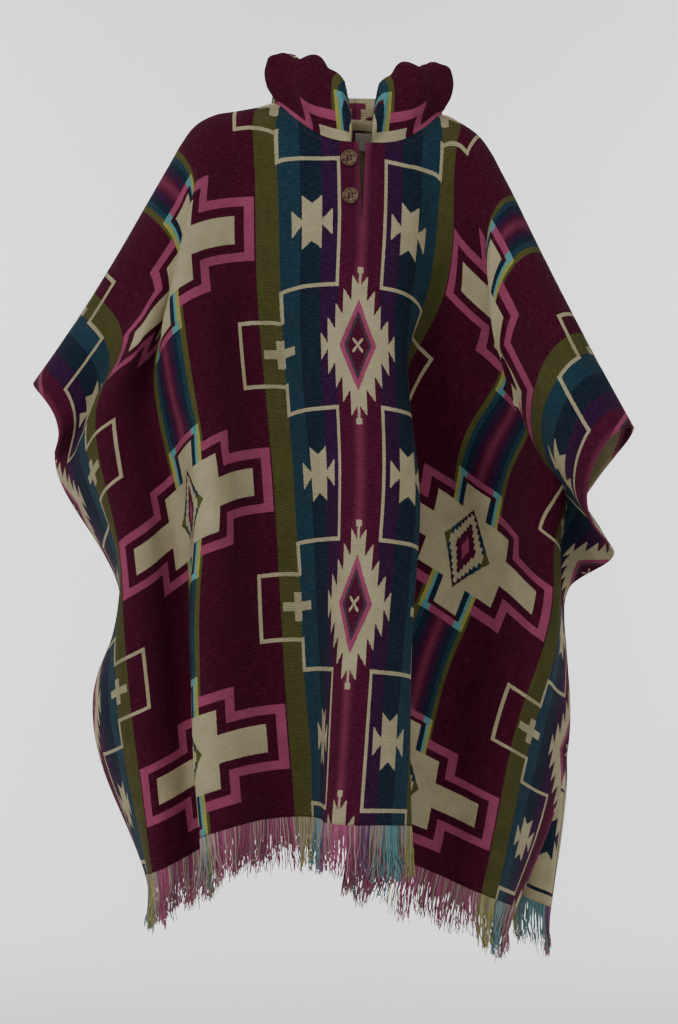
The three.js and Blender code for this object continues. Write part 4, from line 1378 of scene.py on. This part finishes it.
def label_piece():
    rows, columns = 19, 31
    points, normals, flat = [], [], []
    for v in np.linspace(-0.5, 0.5, rows):
        for u in np.linspace(-0.5, 0.5, columns):
            at = (LABEL_PLACE[0] + u * LABEL["width"], LABEL_PLACE[1] + v * LABEL["height"])
            point, normal = place_on("back", *at)
            bulge = 0.5 * math.cos(math.pi * u) * (v + 0.5)
            away = WALL / 2 + LABEL["gap"] + LABEL["thick"] / 2 + bulge
            points.append(point - normal * away)
            normals.append(-normal)
            flat.append(at)
    arrays = np.array(points), np.array(normals), grid_quads(rows, columns, False), np.array(flat)
    return wall_mesh("blank_label", *arrays, [tape_material()] * 3, LABEL["thick"])


label = label_piece()
claim(label, "tape", "neck_label")

# %% [markdown]
# The panels are cut across the full width of the loom, less the neckline. The halves of the hood
# are laid out flat by their own threads: the length of the neck seam, by the height from the seam
# to the rim.


# %% [markdown]
# A plain pale room: a floor that sweeps up into a wall behind, one large soft light from the upper
# left, a weaker one from the right, two that wash the wall, and even light from all round.

# %% Floor, wall and lights
FLOOR_Z = -1.45
ROOM = {"half_width": 6.0, "near": -5.0, "wall": 4.2, "height": 5.0, "bend": 1.6}


def add_room():
    bend = [math.pi / 2 * k / 12 for k in range(13)]
    wall, radius = ROOM["wall"], ROOM["bend"]
    profile = [(ROOM["near"], FLOOR_Z)]
    for t in bend:
        profile.append((wall - radius * (1 - math.sin(t)), FLOOR_Z + radius * (1 - math.cos(t))))
    profile.append((wall, FLOOR_Z + ROOM["height"]))
    width = ROOM["half_width"]
    points = [(side * width, y, z) for y, z in profile for side in (-1, 1)]
    faces = [(2 * k, 2 * k + 1, 2 * k + 3, 2 * k + 2) for k in range(len(profile) - 1)]
    mesh = bpy.data.meshes.new("room")
    mesh.from_pydata(points, [], faces)
    mesh.polygons.foreach_set("use_smooth", [True] * len(faces))
    paper = Finish("pale_paper", 0.9)
    paper.shader["Base Color"].default_value = (0.86, 0.86, 0.85, 1)
    mesh.materials.append(paper.material)
    in_scene("room", mesh)


def add_light(name, place, aim, size, power):
    data = bpy.data.lights.new(name, "AREA")
    data.shape = "DISK"
    data.size = size
    data.energy = power
    light = in_scene(name, data)
    light.location = place
    way = np.array(aim, float) - np.array(place, float)
    pitch = math.atan2(math.hypot(way[0], way[1]), -way[2])
    light.rotation_euler = (pitch, 0, math.atan2(-way[0], way[1]))


def add_world():
    world = bpy.data.worlds.new("room_light")
    world.use_nodes = True
    background = world.node_tree.nodes["Background"]
    background.inputs["Color"].default_value = (0.97, 0.98, 1.0, 1)
    background.inputs["Strength"].default_value = 0.42
    bpy.context.scene.world = world


add_room()
add_light("key", (-1.9, -2.6, 1.6), (0, 0, -0.4), 1.3, 40)
add_light("fill", (2.6, -2.4, 0.4), (0, 0, -0.5), 2.2, 8)
for x in (-2.2, 2.2):
    add_light("wall_wash", (x, 2.5, 0.4), (0.2 * x, 4.2, -0.5), 2.4, 90)
add_world()
